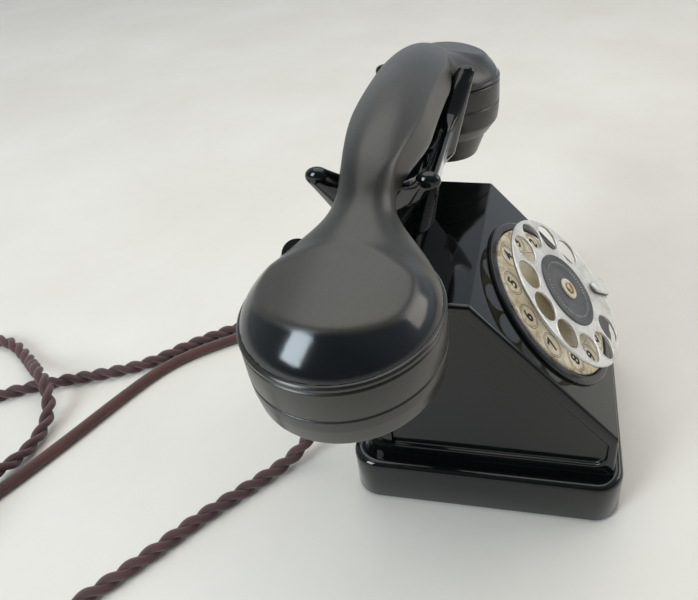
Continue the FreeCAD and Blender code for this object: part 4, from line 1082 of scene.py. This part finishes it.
def make_wheel():
    """Finger wheel: plate with ten holes, rolled rim, a lip round each hole, and its hub."""
    holes = [(*around(HOLE_CIRCLE_R, 30 * i), HOLE_R) for i in range(10)]
    top = WHEEL_Z + WHEEL_THICK
    parts = [
        flat_plate([(0, 0, WHEEL_R - 0.4)] + holes, WHEEL_Z + 0.1, WHEEL_THICK - 0.1, 0.35),
        torus(RIM_R, RIM_WIRE_R, 0, 0, top - 0.62, 160, 14),
        lathe([(0, 4.0), (8.0, 4.0), (8.0, top - 0.4), (0, top - 0.4)], 64),
    ]
    for x, y, radius in holes:
        parts.append(torus(radius + 0.35, 0.55, x, y, top - 0.3, 56, 12))
    add_dial_piece("wheel", together(parts), "wheel_metal", "dial", ("finger_wheel",), sharp=50)


def make_label_disc(base):
    profile = [(4.0, base - 0.3), (DISC_R, base - 0.3), (DISC_R, base + 0.35), (DISC_R - 0.3, base + 0.6),
               (DISC_R - 1.1, base + 0.62), (DISC_R - 1.4, base + 0.42), (4.0, base + 0.42)]
    disc = lathe(profile, 144, closed=True)
    add_dial_piece("label_disc", disc, "disc_grey", "dial", ("centre_disc",), sharp=50)
    marks = []
    for i in range(MARKS):
        length = random.uniform(0.5, 1.5)
        start, end = MARK_CIRCLE_R - length / 2, MARK_CIRCLE_R + length / 2
        corners = [(start, -MARK_HALF), (end, -MARK_HALF), (end, MARK_HALF), (start, MARK_HALF)]
        mark = loft([[(x, y, z) for x, y in corners] for z in (base + 0.40, base + 0.46)])
        marks.append(turned(mark, math.radians(i * 360 / MARKS)))
    add_dial_piece("label_marks", together(marks), "disc_grey", "dial", material=PALE_PAINT)


def make_centre_screw(base):
    """Ivory washer and a round screw head, made of two halves with the slot between them."""
    washer = [(2.7, base + 0.4), (5.2, base + 0.4), (5.3, base + 0.8), (4.9, base + 1.3), (4.2, base + 1.45),
              (3.3, base + 1.3), (2.7, base + 1.1)]
    ring = lathe(softened(washer, 0.2, 3), 72, closed=True)
    add_dial_piece("dial_washer", ring, "brass", "dial", material=IVORY, sharp=50)
    start = math.asin(SLOT_HALF / SCREW_R)
    stem = [(0, base + 0.5), (SCREW_R, base + 0.5), (SCREW_R, base + 1.35), (0, base + 1.35)]
    parts = [lathe(stem, 48)]
    for flip in (0, math.pi):
        arc = [(SCREW_R * math.cos(a + flip), SCREW_R * math.sin(a + flip))
               for a in np.linspace(start, math.pi - start, 20)]
        loops = []
        for z, shrink in ((base + 1.2, 1.0), (base + 1.75, 1.0), (base + 2.05, 0.93), (base + 2.15, 0.80)):
            loops.append([(x * shrink, y * shrink if abs(y) > 0.5 else y, z) for x, y in arc])
        parts.append(loft(loops))
    screw = turned(together(parts), SCREW_TURN)
    add_dial_piece("dial_screw", screw, "brass", "dial", ("centre_screw",), sharp=40)


def make_finger_stop():
    """Bent sheet-metal finger: foot on the ring, leg outside the wheel, tapered tip over it."""
    line = [(41.6, 2.4), (40.3, 2.6), (39.7, 3.4), (39.6, 8.0), (39.5, 11.2), (38.9, 12.1), (37.6, 12.5),
            (33.0, 12.4), (28.5, 12.2), (25.0, 12.1)]
    widths = [4.8, 4.8, 4.7, 4.6, 4.6, 4.6, 4.5, 3.9, 2.9, 1.7]
    thick = 0.75
    loops = []
    for i, (r, z) in enumerate(line):
        before, after = line[max(i - 1, 0)], line[min(i + 1, len(line) - 1)]
        heading = Vector((after[0] - before[0], after[1] - before[1])).normalized()
        normal = Vector((heading.y, -heading.x))
        w = widths[i]
        crown = thick * 1.25
        section = [(-w, -thick), (-w * 0.5, -crown), (w * 0.5, -crown), (w, -thick), (w + 0.35, 0),
                   (w, thick), (w * 0.5, crown), (-w * 0.5, crown), (-w, thick), (-w - 0.35, 0)]
        loops.append([(r + normal.x * t, s, z + normal.y * t) for s, t in section])
    finger = turned(loft(loops), STOP_ANGLE)
    piece = add_dial_piece("stop_finger", finger, "wheel_metal", "root", ("finger_stop",))
    rounding = piece.modifiers.new("round", "SUBSURF")
    rounding.levels = rounding.render_levels = 2


make_number_plate()
make_numbers()
make_dial_ring()
make_wheel()
make_label_disc(WHEEL_Z + WHEEL_THICK)
make_centre_screw(WHEEL_Z + WHEEL_THICK)
make_finger_stop()
